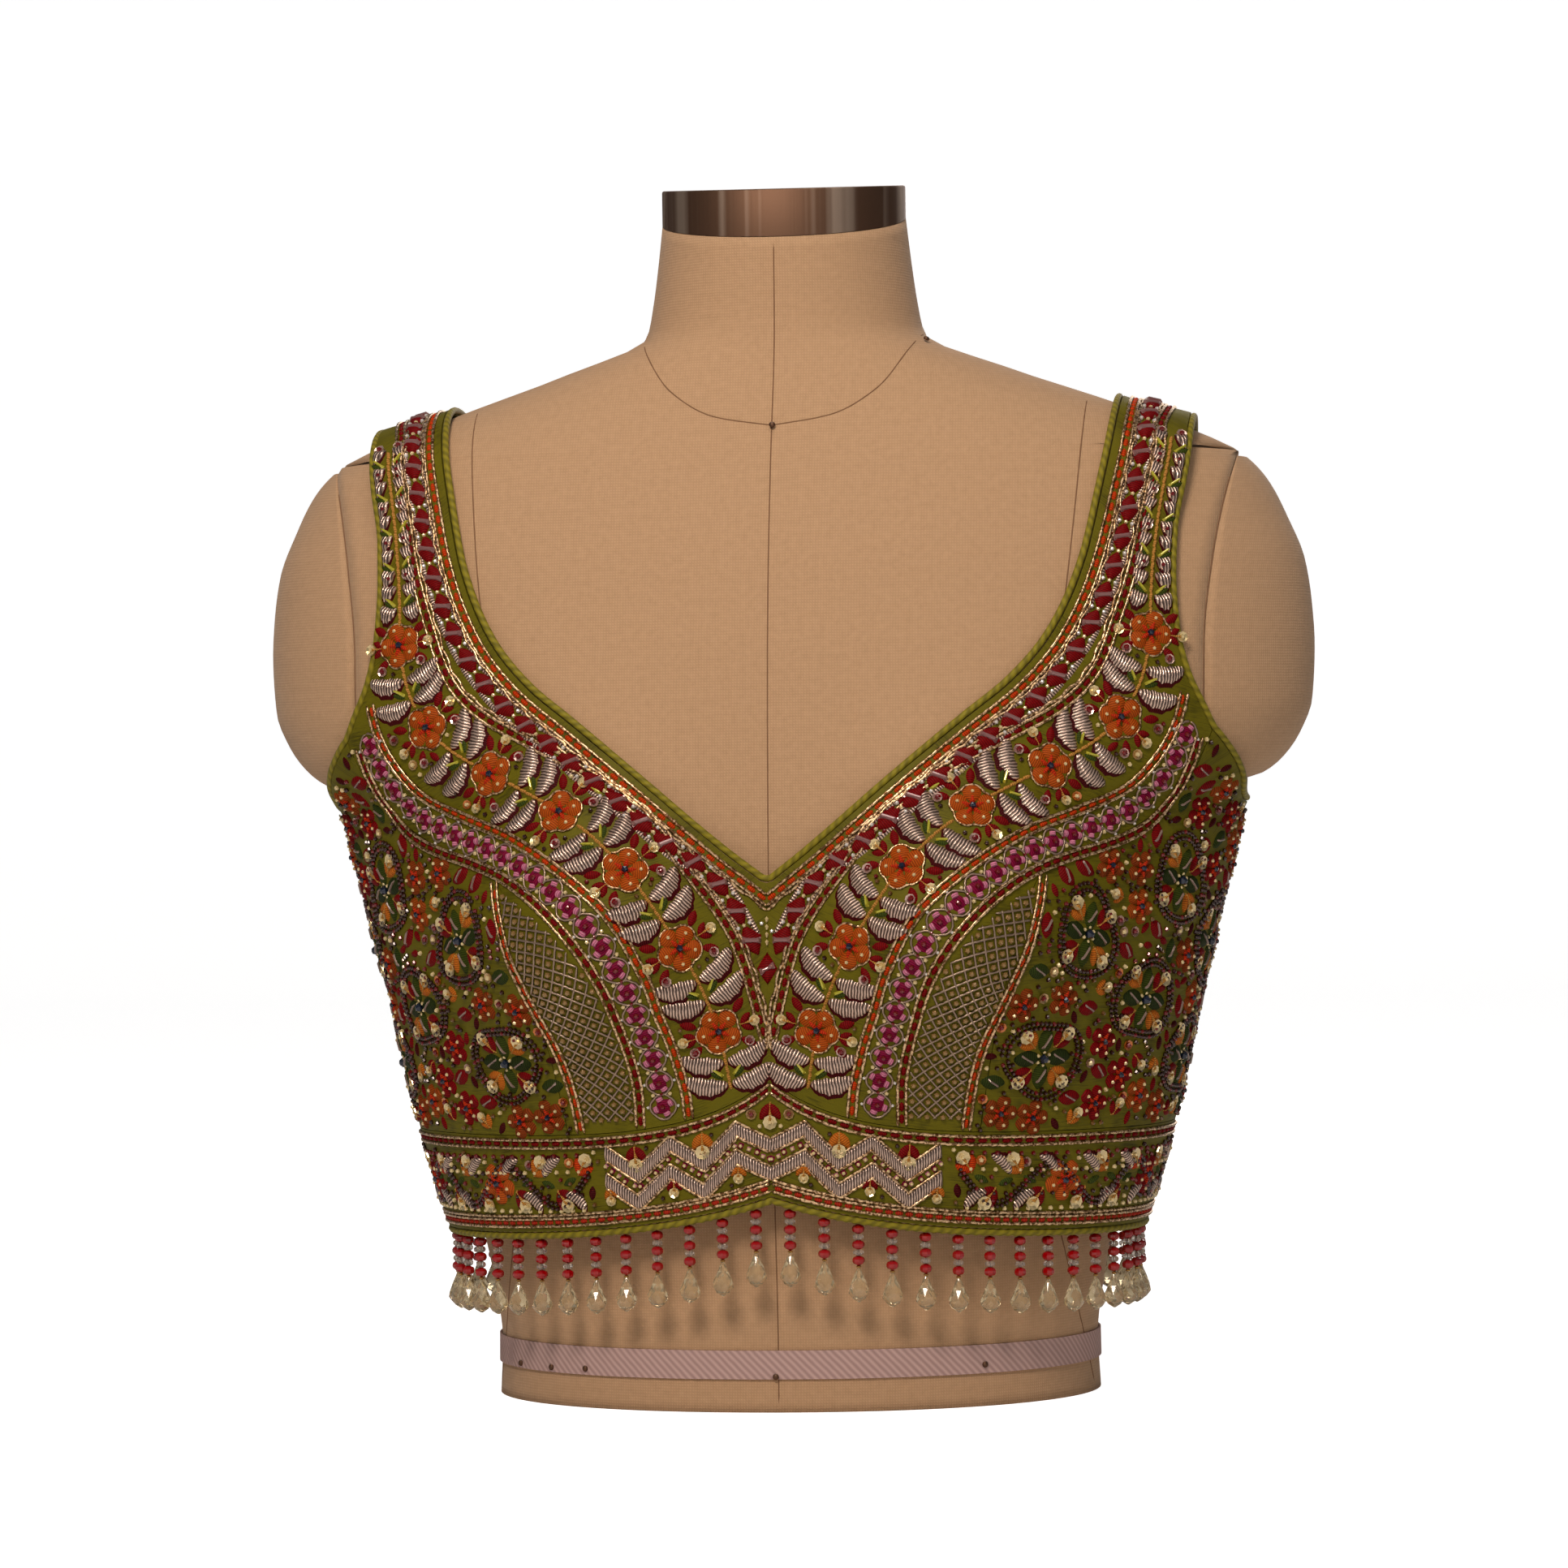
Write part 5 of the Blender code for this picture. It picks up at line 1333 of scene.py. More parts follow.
def cup(sides=8):
    """A cup sequin: a shallow bowl with a raised rim, one unit in radius."""
    around = np.arange(sides) * 2 * math.pi / sides
    rings = [(1.0, 0.35), (0.97, 1.0), (0.45, 0.35), (0.12, 0.3)]
    points = np.array([(r * math.cos(a), r * math.sin(a), h) for r, h in rings for a in around])
    return {"points": points, "faces": [grid_faces(4, sides, True)[:, ::-1]]}


seed, sequin = dome(), cup()
bugle = pad(lambda u: 0.92 + 0 * u, rows=5, columns=5, flat=1.0)
SEED = (0.0009, 0.0009, 0.0013)
TINY_SEED, WIDE_SEED = (0.0008, 0.0008, 0.0012), (0.0011, 0.0011, 0.0015)
NECK_BUGLE = (0.0038, 0.0014, 0.0013)
CLEAR, DARK, WINE, ROSE = "#D8D2CC", "#34160F", "#6B1016", "#86605E"

# Lead glass, cut and fire polished: hard, clear highlights over a body colour that each bead carries.
glass = finish_of("cut_glass_beads")
dye = add(glass, "Attribute", attribute_name="tint")
finish(glass, {
    "Base Color": dye.outputs["Color"], "Roughness": 0.1, "IOR": 1.6, "Metallic": 0.2,
    "Coat Weight": 0.25, "Coat Roughness": 0.05,
})

gaps = s[:-1] + LOZENGE_PITCH / 2
sewn(
    "neck_glass",
    [
        stamp(bugle, lozenge_line, s, 0.0, NECK_BUGLE, ROSE, turn=1.1, lift=0.0012),
        stamp(seed, lozenge_line, gaps, 0.0, SEED, CHAMPAGNE, lift=0.0004),
        stamp(seed, lozenge_line, gaps, 0.0026, SEED, CLEAR, lift=0.0003),
        stamp(seed, lozenge_line, gaps, -0.0026, SEED, CLEAR, lift=0.0003),
    ],
    glass,
    [stamp(bugle, centre_line, MIDDLE_LOZENGE, 0.0, NECK_BUGLE, ROSE, turn=1.2, lift=0.0012),
     stamp(seed, centre_line, [0.0365, 0.0395, 0.0425, 0.0455], 0.0, (0.0013, 0.0013, 0.0015), CHAMPAGNE),
     stamp(seed, centre_line, [0.041, 0.044], [0.0026, -0.0026], SEED, CLEAR)],
    False,
)

# Zari: flat silver-gilt strip wound on silk, couched side by side, so it is metal with a soft, broken shine.
# Its colour carries painted highlights on the strips and painted shade in the dark gaps between them,
# drawn 1.2 mm apart so that they show.
zari = finish_of("silver_zari")
uv = add(zari, "TexCoord").outputs["UV"]
waves = {"Vector": uv, "Scale": 0.26, "Distortion": 3.0, "Detail": 3.0}
strips_with_painted_light = add(zari, "TexWave", waves, bands_direction="X")
tone = add(zari, "ValToRGB", {"Fac": strips_with_painted_light.outputs["Fac"]})
for stop, colour in zip(tone.color_ramp.elements, ("#40302A", "#E6C8B6")):
    stop.color = linear(colour)
bump = add(zari, "Bump", {"Strength": 0.7, "Distance": 0.0004, "Height": strips_with_painted_light.outputs["Fac"]})
finish(zari, {
    "Base Color": tone.outputs["Color"], "Normal": bump.outputs["Normal"], "Metallic": 0.8,
    "Roughness": 0.3,
})
scallop = pad(lambda u: 0.55 + 0.45 * (1 - u**2), rows=7, columns=4, flat=0.3, bend=0.3)
silver_ground = sewn(
    "silver_ground",
    [
        stamp(scallop, lozenge_line, gaps, side * 0.0036, (0.0058, 0.0014 * side, 0.0006), SILVER)
        for side in (1, -1)
    ],
    zari,
)


# Flower border
# Seven orange flowers climb each side of the bust on a gold stem. Silver crescents with maroon teeth
# fill the lane between them, with red petals, lime bugles on green leaves, and clear sequins.
def between(a, b):
    """A line between two others: each point of the first moved half way to the nearest of the second."""
    near = np.linalg.norm(a.points[::4, None] - b.points[None, ::4], axis=-1)
    partner = b.points[::4][near.argmin(axis=1)]
    return Line(a.points[::4] + 0.5 * (partner - a.points[::4]), soft=0.007)


def room(line, s, edges):
    """Distance from these places on a line to the nearest point of some other lines."""
    point = line.at(s)[0]
    walls = np.concatenate([edge.points[::3] for edge in edges])
    return np.linalg.norm(point[:, None] - walls[None], axis=-1).min(axis=1)


FLOWERS = 7
FLOWER_RADIUS = 0.0086
FLOWER_TURN = 0.3
# How far out of a motif's middle each kind of part lies, and its half length, half width and height.
PETAL_OUT, PETAL_SIZE = 0.0048, (0.0043, 0.0042, 0.0014)
VEIN_OUT, VEIN_SIZE = 0.0026, (0.003, 0.0012, 0.0019)
HEART_SIZE = (0.0016, 0.0016, 0.0021)
PETAL_BEAD_OUT, PETAL_BEAD = 0.0062, (0.0008, 0.0008, 0.0011)
SIDE_PETAL_OUT, SIDE_PETAL_TURN, SIDE_PETAL_SIZE = 0.0022, 0.75, (0.0032, 0.0018, 0.0012)
DROP_OUT, DROP_SIZE = 0.0018, (0.0032, 0.001, 0.0016)
TIP_OUT, TIP_SIZE = 0.005, (0.0024, 0.0024, 0.0009)
flower_table = (
    (0.015, 0.128), (0.0165, 0.137), (0.0195, 0.153), (0.027, 0.172), (0.0365, 0.189), (0.052, 0.212),
    (0.0665, 0.2275), (0.0835, 0.24), (0.1, 0.249), (0.1165, 0.257), (0.13, 0.265), (0.1405, 0.276),
    (0.1465, 0.288), (0.1495, 0.302),
)
strap_table = ((0.15, 0.318), (0.1508, 0.334), (0.153, 0.3515), (0.1558, 0.37), (0.1578, 0.385))
x, z = np.array(flower_table + strap_table).T
flower_line = Line(skin(x, strap_q(x, z)), soft=0.006)
first, last = 0.0251, flower_line.length - 0.087
low_lane = between(lines["bust_middle_back"], lines["bust_inner"])
levels = np.linspace(0.27, 0.375, 80)
arm_edges = [Line(CLOTH.at(arm_x(levels, face), levels, face)) for face in ("front", "back")]
# The back's lane runs down the strap, between its border and the armhole, and on to the middle.
strap = between(arm_edges[1], lines["bust_inner"]).points
strap = strap[np.argsort(-strap[:, 2])]
strap = strap[(strap[:, 2] > low_lane.points[0, 2] + 0.012) & (strap[:, 1] > 0.004)]
back_lane = Line(np.concatenate([strap, low_lane.points]), soft=0.007)
borders = [lines["bust_inner"], lines["bust_middle"], *arm_edges]
back_borders = [lines["bust_inner"], lines["bust_middle_back"], *arm_edges]
low = back_lane.length - low_lane.length + 0.019
centres = {"front": np.linspace(first, last, FLOWERS), "back": np.linspace(low, back_lane.length - 0.012, 6)}
lanes = {"front": (flower_line, borders), "back": (back_lane, back_borders)}


def petal_width(u):
    """A stalk three tenths wide, and past it an ellipse of seven tenths."""
    return 0.3 + 0.7 * np.sqrt(np.maximum(1 - ((u - 0.25) / 0.78) ** 2, 0)) * (u > -0.53)


petal = pad(petal_width, rows=8)
leaf = pad(lambda u: (1 - u**2) ** 0.75, rows=7, columns=4)
CRESCENT_BEND = 0.55
crescent = pad(lambda u: (1 - u**2) ** 0.5 * (0.92 + 0.1 * np.cos(u * 23)), CRESCENT_BEND, 18, 5, 0.3)
teeth = pad(lambda u: (1 - u**2) ** 0.5 * (0.9 + 0.16 * np.cos(u * 17)), CRESCENT_BEND, 16, 4, 0.2)
drop = pad(lambda u: 0.35 + 0.65 * np.clip(u + 0.2, 0, 1) * (1 - np.minimum(u**2, 1)) ** 0.25, 0, 6, 4)
GOLD_FLOSS, LEAF_GREEN, NAVY, LIME, DEEP_ORANGE = "#C08840", "#3E4A16", "#141F33", "#B9B23A", "#C23210"
flower_floss, flower_silver, flower_glass, flower_sequins = [], [], [], []


def ring_of(at, radius, count, start=0.0):
    """Places on a circle round each spot: how far ahead and aside, and the way out of its middle."""
    angle = start + np.arange(count) * 2 * math.pi / count
    ahead = (np.asarray(at)[:, None] + radius * np.cos(angle)).ravel()
    return ahead, np.tile(radius * np.sin(angle), len(at)), np.tile(angle, len(at))


def bead(line, s, aside, size, colour, lift=0.0):
    """Seed beads along a line, kept with the glass that is sewn next."""
    flower_glass.append(stamp(seed, line, s, aside, size, colour, lift=lift))


def moved(s, aside, reach, angle):
    """A place moved this far in a direction, turned by an angle from ahead towards aside."""
    return s + reach * np.cos(angle), aside + reach * np.sin(angle)


def wider(size, scale):
    """A size with its length and width scaled and its height kept."""
    return size[0] * scale, size[1] * scale, size[2]


def flower(line, at, scale=1.0, colour="#B04E10"):
    """Five padded petals with darker ones on them, a small bead on each, round one navy bead."""
    s, aside, angle = ring_of(at, PETAL_OUT * scale, 5, FLOWER_TURN)
    flower_floss.append(stamp(petal, line, s, aside, wider(PETAL_SIZE, scale), colour, angle))
    s, aside, angle = ring_of(at, VEIN_OUT * scale, 5, FLOWER_TURN)
    flower_floss.append(stamp(leaf, line, s, aside, wider(VEIN_SIZE, scale), DEEP_ORANGE, angle))
    bead(line, at, 0.0, wider(HEART_SIZE, scale), NAVY, 0.0006)
    s, aside, _ = ring_of(at, PETAL_BEAD_OUT * scale, 5, FLOWER_TURN)
    bead(line, s, aside, PETAL_BEAD, CHAMPAGNE, 0.0011)


def outline_of(line, at, radius, lobes=5, swell=0.1, start=FLOWER_TURN):
    """Closed gilt loops round flowers: the radius swells to each petal's tip."""
    angle = np.linspace(0, 2 * math.pi, 46)
    lobe = np.abs(np.cos((angle - start) * lobes / 2)) ** 0.7
    reach = radius * (1 - swell + swell * lobe * 2 - swell * 0.4)
    return [line.beside(a + reach * np.cos(angle), reach * np.sin(angle)) for a in at]


def accent(line, s, aside, angle, colour=CRIMSON, scale=1.0):
    """Petals either side of a gold drop that ends in a sequin under a bead, pointing by the angle."""
    s, aside, angle = np.broadcast_arrays(np.atleast_1d(s).astype(float), aside, angle)
    for turn in (-SIDE_PETAL_TURN, SIDE_PETAL_TURN):
        at, size = moved(s, aside, SIDE_PETAL_OUT * scale, angle + turn), wider(SIDE_PETAL_SIZE, scale)
        flower_floss.append(stamp(leaf, line, *at, size, colour, angle + turn * 0.8))
    at, size = moved(s, aside, DROP_OUT * scale, angle), wider(DROP_SIZE, scale)
    flower_floss.append(stamp(drop, line, *at, size, GOLD_FLOSS, angle, lift=0.0003))
    tip, size = moved(s, aside, TIP_OUT * scale, angle), wider(TIP_SIZE, scale)
    flower_sequins.append(stamp(sequin, line, *tip, size, CHAMPAGNE, lift=0.0006))
    bead(line, *tip, TINY_SEED, CHAMPAGNE, 0.001)


loops = []
for face, (line, edges) in lanes.items():
    at = centres[face]
    flower(line, at)
    loops += outline_of(line, at, FLOWER_RADIUS)
    wide = np.minimum(room(line, at, edges) - 0.0035, 0.0135)
    for side in (1, -1):
        accent(line, at, side * np.maximum(wide - 0.0035, 0.0085), side * math.pi / 2, scale=0.95)
        for lean in (-0.62, 0.62):
            spread = at + np.sign(lean) * 0.0066, side * np.maximum(wide - 0.0028, 0.0088)
            turn = side * (math.pi / 2 - lean)
            flower_floss.append(stamp(leaf, line, *spread, (0.0036, 0.0021, 0.0012), CRIMSON, turn))
    pitch = np.diff(at).mean()
    # Past the last flower on the strap the crescents stand closer.
    on_strap = pitch * np.arange(0.5, 6.0, 0.42)
    if face == "front":
        past = [[at[0] - pitch * 0.44], at[-1] + on_strap]
    else:
        past = [at[0] - on_strap, [at[-1] + pitch / 2]]
    gaps = np.concatenate([at[:-1] + pitch / 2, *past])
    gaps = gaps[(gaps > 0.005) & (gaps < line.length - 0.006)]
    for offset in (-0.0045, 0.0045):
        s = gaps + offset
        free = np.clip(room(line, s, edges) - 0.0022, 0.004, 0.0145)
        for side in (1, -1):
            aside = side * (0.0022 + free / 2)
            turn = side * (math.pi / 2 - 0.3)
            size = np.stack([free * 0.6, np.full(len(s), 0.0042 * -side), np.full(len(s), 0.0014)], axis=-1)
            flower_silver.append(stamp(crescent, line, s, aside, size, SILVER, turn, lift=0.0003))
            size = size * (1.05, 1.22, 0.6)
            flower_floss.append(stamp(teeth, line, s - 0.0007, aside, size, MAROON, turn))
    for side in (1, -1):
        s = gaps + 0.0002
        size = (0.003, 0.0008, 0.0011)
        flower_glass.append(stamp(bugle, line, s, side * 0.0042, size, LIME, side * 0.75, lift=0.0003))
        size = (0.0034, 0.0013, 0.0008)
        flower_floss.append(stamp(leaf, line, s - 0.0012, side * 0.0048, size, LEAF_GREEN, side * 0.9))
        s = gaps + pitch * 0.27
        free = np.clip(room(line, s, edges) - 0.0042, 0.004, 0.011)
        size = (0.0021, 0.0021, 0.0009)
        flower_sequins.append(stamp(sequin, line, s, side * free, size, "#C9A79A", lift=0.0004))
        bead(line, s, side * free, WIDE_SEED, WINE, 0.0006)
    s = np.arange(0.003, line.length - 0.003, 0.0031)
    s = s[np.abs(s[:, None] - at).min(axis=1) > FLOWER_RADIUS]
    flower_floss.append(stamp(dash, line, s, 0.0, (0.0021, 0.0008, 0.001), GOLD_FLOSS, 0.12))


# Pink border
# Small magenta squares with four pink blocks and a wine bead, each in a couched silver loop, with
# champagne and clear beads between the loops.
PINK_PITCH = 0.01
square = pad(lambda u: 0.96 + 0 * u, rows=5, columns=4, flat=0.8)
pink_lines = {
    "front": between(lines["bust_middle"], lines["bust_outer"]),
    "back": between(lines["bust_middle_back"], lines["bust_outer_back"]),
}
silver_loops = []
for line in pink_lines.values():
    at = np.arange(0.006, line.length - 0.005, PINK_PITCH)
    flower_floss.append(stamp(square, line, at, 0.0, (0.0031, 0.0031, 0.001), MAGENTA))
    s, aside, angle = ring_of(at, 0.0032, 4, 0.4)
    flower_floss.append(stamp(square, line, s, aside, (0.0011, 0.0017, 0.0013), PINK, angle))
    bead(line, at, 0.0, (0.0012, 0.0012, 0.0017), WINE, 0.0006)
    silver_loops += outline_of(line, at, 0.005, lobes=4, swell=0.06, start=0.0)
    middle = at[:-1] + PINK_PITCH / 2
    for side in (1, -1):
        bead(line, middle, side * 0.0034, SEED, CHAMPAGNE)
        bead(line, at, side * 0.006, (0.0007, 0.0007, 0.001), CLEAR)
    bead(line, middle, 0.0, TINY_SEED, WINE)


# Lattice
# Silver cord crossed into a net between the bust's outer border and the side seam, a champagne bead
# in each mesh.
LATTICE_PITCH = 0.0044
NET_STEP = 0.0009
lattice_line = between(lines["seam_side"], lines["bust_outer"])
lattice = []
s = np.linspace(0.004, lattice_line.length - 0.006, 220)
wide = room(lattice_line, s, [lines["seam_side"], lines["bust_outer"]]) - 0.002
starts = np.arange(-0.02, lattice_line.length + 0.02, LATTICE_PITCH * math.sqrt(2))
for start in starts:
    for slope in (1, -1):
        aside = slope * (s - start)
        inside = np.abs(aside) < wide
        if inside.sum() > 6:
            lattice.append(lattice_line.beside(s[inside], aside[inside]))
step = LATTICE_PITCH * math.sqrt(2) / 2
cell, across = np.meshgrid(np.arange(0, len(starts) * 2), np.arange(-6, 7), indexing="ij")
odd = (cell + across) % 2 == 1
at, aside = (starts[0] + cell[odd] * step), across[odd] * step
free = np.interp(at, s, wide, left=0, right=0)
keep = np.abs(aside) < free - 0.0006
bead(lattice_line, at[keep], aside[keep], (0.0012, 0.0012, 0.0015), "#8C6C3E")


def couched_paths(name, paths, material, radius, sides):
    """Cords on the cloth along these points, their rings evenly spaced."""
    even = []
    for path in paths:
        steps = walk(path)
        at = np.linspace(0, steps[-1], max(int(steps[-1] / NET_STEP), 4))
        even.append(interpolated(at, steps, path))
    return laid_cords(name, even, material, radius, sides, 0.2)


silver_cord = finish_of("silver_twist")
finish(silver_cord, {"Base Color": linear("#A08A78"), "Metallic": 0.8, "Roughness": 0.35})
silver_net = couched_paths("silver_net", lattice + silver_loops, silver_cord, 0.00052, 4)
couched_paths("flower_outlines", loops, gilt, 0.00052, 4)


# Side panels and small fillings
# Large flowers of green, red and orange petals round a dark blue bead, each in a loop of dark bead
# vine, with orange flowers, crimson leaves under bugles, sequins and seed beads over the rest.
SPRAYS = (
    (40.0, 0.14), (45.0, 0.188), (60.0, 0.161), (64.0, 0.208), (79.0, 0.137), (82.0, 0.183), (99.0, 0.154),
    (103.0, 0.196), (119.0, 0.14), (122.0, 0.183), (141.0, 0.145), (161.0, 0.136),
)
SPRAY_SCALE = 1.4
SPRAY_LEAF_OUT, SPRAY_LEAF_SIZE = 0.0052, (0.0044, 0.003, 0.0014)
SPRAY_PAIR_OUT = 0.0055
SPRAY_BEAD = (0.0019, 0.0019, 0.0026)
VINE_BEAD_PITCH = 0.0021
VINE_ROWS = (0.0148, 0.0171)
VINE_BEAD = (0.001, 0.001, 0.0015)
AMBER = "#C26A1E"


def upright(turn, z):
    """A line straight up the cloth through a place, and the place's length along it."""
    levels = np.linspace(z - 0.03, z + 0.03, 60)
    line = Line(CLOTH.around(np.full(60, turn), levels), soft=0.001)
    return line, np.interp(z, line.points[:, 2], line.walked)


def leaf_with_bugle(line, s, aside, angle, size, colour):
    """A floss leaf tied down along its middle by a clear bugle."""
    flower_floss.append(stamp(leaf, line, s, aside, size, colour, angle))
    glass_size = (size[0] * 0.55, 0.0006, 0.0009)
    flower_glass.append(stamp(bugle, line, s, aside, glass_size, "#8A746A", angle + 0.5, lift=size[2] * 0.75))


def spray(line, s, scale):
    """Four green leaves up, down and aside, and red and orange pairs between them, round one bead."""
    for k in range(4):
        angle = k * math.pi / 2 + 0.06
        at = moved(s, 0.0, SPRAY_LEAF_OUT * scale, angle)
        leaf_with_bugle(line, *at, angle, wider(SPRAY_LEAF_SIZE, scale), ("#38420F", "#28330F")[k % 2])
        angle += math.pi / 4
        at = moved(s, 0.0, SPRAY_PAIR_OUT * scale, angle)
        accent(line, *at, angle, (CRIMSON, AMBER)[k % 2], 0.9 * scale)
    bead(line, s, 0.0, SPRAY_BEAD, NAVY, 0.0003)
    ahead, aside, _ = ring_of([s], 0.0028, 6)
    bead(line, ahead, aside, TINY_SEED, CHAMPAGNE)


def clear_of(points, walls, margin):
    """True where every wall point is further off than the margin."""
    return np.linalg.norm(points[:, None] - walls[None], axis=-1).min(axis=1) > margin


def arm_height(points):
    """Height of the armhole's edge nearest to each place, round the body."""
    nearest = np.abs(loop[None, :, 1] - points[:, None, 1])
    return loop[np.where(loop[None, :, 2] < 0.3, nearest, 1.0).argmin(axis=1), 2]


def open_ground(points, margin):
    """True where places on the side or back panels are clear of the borders and the armhole."""
    x, front = np.abs(points[:, 0]), points[:, 1] < 0
    seam, outer = lines["seam_side"].points, lines["bust_outer"].points
    edge = np.concatenate([seam, outer[outer[:, 2] > seam[-1, 2]]])
    past_front = x > np.interp(points[:, 2], edge[:, 2], edge[:, 0])
    back = lines["bust_outer_back"].points
    back = back[np.argsort(back[:, 0])]
    past_back = points[:, 2] < np.interp(x, back[:, 0], back[:, 2])
    clear = clear_of(points, np.concatenate([edge[::3], back[::3]]), margin + 0.0018)
    clear &= clear_of(points, loop[::2], margin + 0.0026) & (points[:, 2] < arm_height(points) - margin)
    return np.where(front, past_front, past_back) & clear & (points[:, 2] > BAND_TOP + margin + 0.0008)


def strung(line, s, aside):
    """Evenly spaced places on a path that is given by lengths along a line and aside of it."""
    steps = walk(line.beside(s, aside))
    even = np.arange(0, steps[-1], VINE_BEAD_PITCH)
    return np.interp(even, steps, s), np.interp(even, steps, aside)


def vine(line, s, aside, fits):
    """Dark beads strung along a path, where they fit."""
    s, aside = strung(line, s, aside)
    beads = line.beside(s, aside)
    keep = fits(beads, 0.0006)
    tint = np.array((DARK, DARK, WINE, DARK))[np.arange(keep.sum()) % 4]
    if keep.any():
        bead(line, s[keep], aside[keep], VINE_BEAD, tint)
    return beads[keep]


def settle(places, radius, spots, sizes):
    """Places kept in turn, where they clear the spots taken before them by this radius."""
    clear = np.ones(len(places), bool)
    for some in np.array_split(np.arange(len(spots)), len(spots) // 800 + 1):
        apart = np.linalg.norm(places[:, None] - spots[None, some], axis=-1)
        clear &= (apart > sizes[some] + radius).all(axis=1)
    places, kept = places[clear], []
    apart = np.linalg.norm(places[:, None] - places[None], axis=-1) > 2 * radius
    for k in range(len(places)):
        if apart[k, kept].all():
            kept.append(k)
    return places[kept]


def motif(kind, line, s, angle, k):
    """One small filling motif: a flower, a leaf under a bugle, a pair of petals, or a sequin."""
    if kind == "bloom":
        flower(line, np.array([s]), 0.8, ("#98440F", CRIMSON, "#84380C")[k % 3])
    elif kind == "leaf":
        leaf_with_bugle(line, s, 0.0, angle, (0.0054, 0.0037, 0.0014), (CRIMSON, "#303C12", CRIMSON)[k % 3])
    elif kind == "accent":
        accent(line, *moved(s, 0.0, -0.001, angle), angle, (CRIMSON, AMBER)[k % 2], 0.95)
    elif kind == "petal":
        colour = (CRIMSON, MAROON)[k % 2]
        flower_floss.append(stamp(leaf, line, s, 0.0, (0.003, 0.0018, 0.0011), colour, angle))
    elif kind == "lime":
        flower_glass.append(stamp(bugle, line, s, 0.0, (0.0028, 0.0008, 0.0011), LIME, angle, lift=0.0002))
    else:
        colour = ("#B89460", "#9A7460", AMBER)[k % 3]
        flower_sequins.append(stamp(sequin, line, s, 0.0, (0.0022, 0.0022, 0.0009), colour))
        colour = (CHAMPAGNE, WINE)[k % 2]
        bead(line, s, 0.0, WIDE_SEED, colour, 0.0003)


def fill(places, fits, spots, sizes, fillers):
    """Small motifs over what is left of a ground: each kind's places are tried in turn."""
    first = 0
    for kind, radius, tries in fillers:
        some = places[first : first + tries]
        first += tries
        chosen = settle(some[fits(some, radius * 0.8)], radius, spots, sizes)
        if not len(chosen):
            continue
        spots = np.concatenate([spots, chosen])
        sizes = np.concatenate([sizes, np.full(len(chosen), radius)])
        if kind == "seed":
            out = CLOTH.normal(chosen)
            ahead = unit(np.cross(out, np.roll(out, 1, axis=1)))
            tint = np.array([DARK, DARK, "#6B4A24", WINE, CHAMPAGNE, DARK])[np.arange(len(chosen)) % 6]
            flower_glass.append(copies(seed, chosen, ahead, out, VINE_BEAD, tint))
            continue
        for k, point in enumerate(chosen):
            turn = abs(float(CLOTH.turn_of(point[0], point[2], "front" if point[1] < 0 else "back")))
            motif(kind, *upright(turn, point[2]), 2.4 * k + 0.5, k)


# The lane first: what the flowers leave of it takes petals, bugles, sequins and beads.
rng = np.random.default_rng(7)
made = flower_floss + flower_silver + flower_sequins + flower_glass
made = np.concatenate([m["points"][::2] for m in made])
for face, (line, edges) in lanes.items():
    s = rng.uniform(0.002, line.length - 0.004, 9000)
    free = room(line, s, edges)
    aside = rng.uniform(-1, 1, 9000) * (free - 0.002)
    s, aside = s[free > 0.003], aside[free > 0.003]
    walls = np.concatenate([edge.points[::2] for edge in edges])
    band = (("petal", 0.0019, 3500), ("lime", 0.0018, 1500), ("sequin", 0.0019, 2000), ("seed", 0.001, 2000))
    near = made[made[:, 1] < 0] if face == "front" else made[made[:, 1] > -0.05]
    hearts = line.at(centres[face])[0]
    spots = np.concatenate([hearts, near])
    sizes = np.repeat([FLOWER_RADIUS, 0.0007], [len(hearts), len(near)])
    fill(line.beside(s, aside), lambda p, r: clear_of(p, walls, r + 0.002), spots, sizes, band)

spots, sizes = [], []
for turn, height in SPRAYS:
    line, s = upright(math.radians(turn), height)
    centre = line.beside(np.array([s]), np.zeros(1))
    if not open_ground(centre, 0.0075)[0]:
        continue
    spray(line, s, SPRAY_SCALE)
    spots.append(centre)
    sizes.append([0.012])
    angle = np.radians(np.linspace(0, 352, 140) + turn * 7)
    for reach in VINE_ROWS:
        swing = reach * (1 + 0.1 * np.cos(2 * angle + turn) + 0.07 * np.sin(3 * angle + 2 * turn))
        beads = vine(line, s + swing * np.cos(angle), swing * np.sin(angle), open_ground)
        spots.append(beads[::2])
        sizes.append(np.full(len(beads[::2]), 0.0011))
count = 20000
turns = rng.uniform(math.radians(24), math.radians(179), count)
places = CLOTH.around(turns, rng.uniform(0.112, 0.29, count))
fillers = (("bloom", 0.0066, 1200), ("leaf", 0.0047, 2000), ("accent", 0.0041, 2600), ("petal", 0.0026, 2600))
fillers += (("sequin", 0.0022, 2600), ("seed", 0.00105, 9000))
fill(places, open_ground, np.concatenate(spots), np.concatenate(sizes), fillers)


# Stitched flowers and glass
# The bust's and sides' floss, silver, beads and sequins, each kind as one mesh of many copies.
sewn("bust_floss", flower_floss, floss)
bust_silver = sewn("bust_silver", flower_silver, zari)
sewn("bust_glass", flower_glass, glass, smooth_shading=False)
# Cellophane sequins, iridescent and clear: thin, very glossy and a little metallic.
foil = finish_of("cup_sequins")
dye = add(foil, "Attribute", attribute_name="tint")
finish(foil, {
    "Base Color": dye.outputs["Color"], "Metallic": 0.6, "Roughness": 0.15, "Coat Weight": 1.0,
    "Coat Roughness": 0.05,
})
sewn("bust_sequins", flower_sequins, foil, smooth_shading=False)


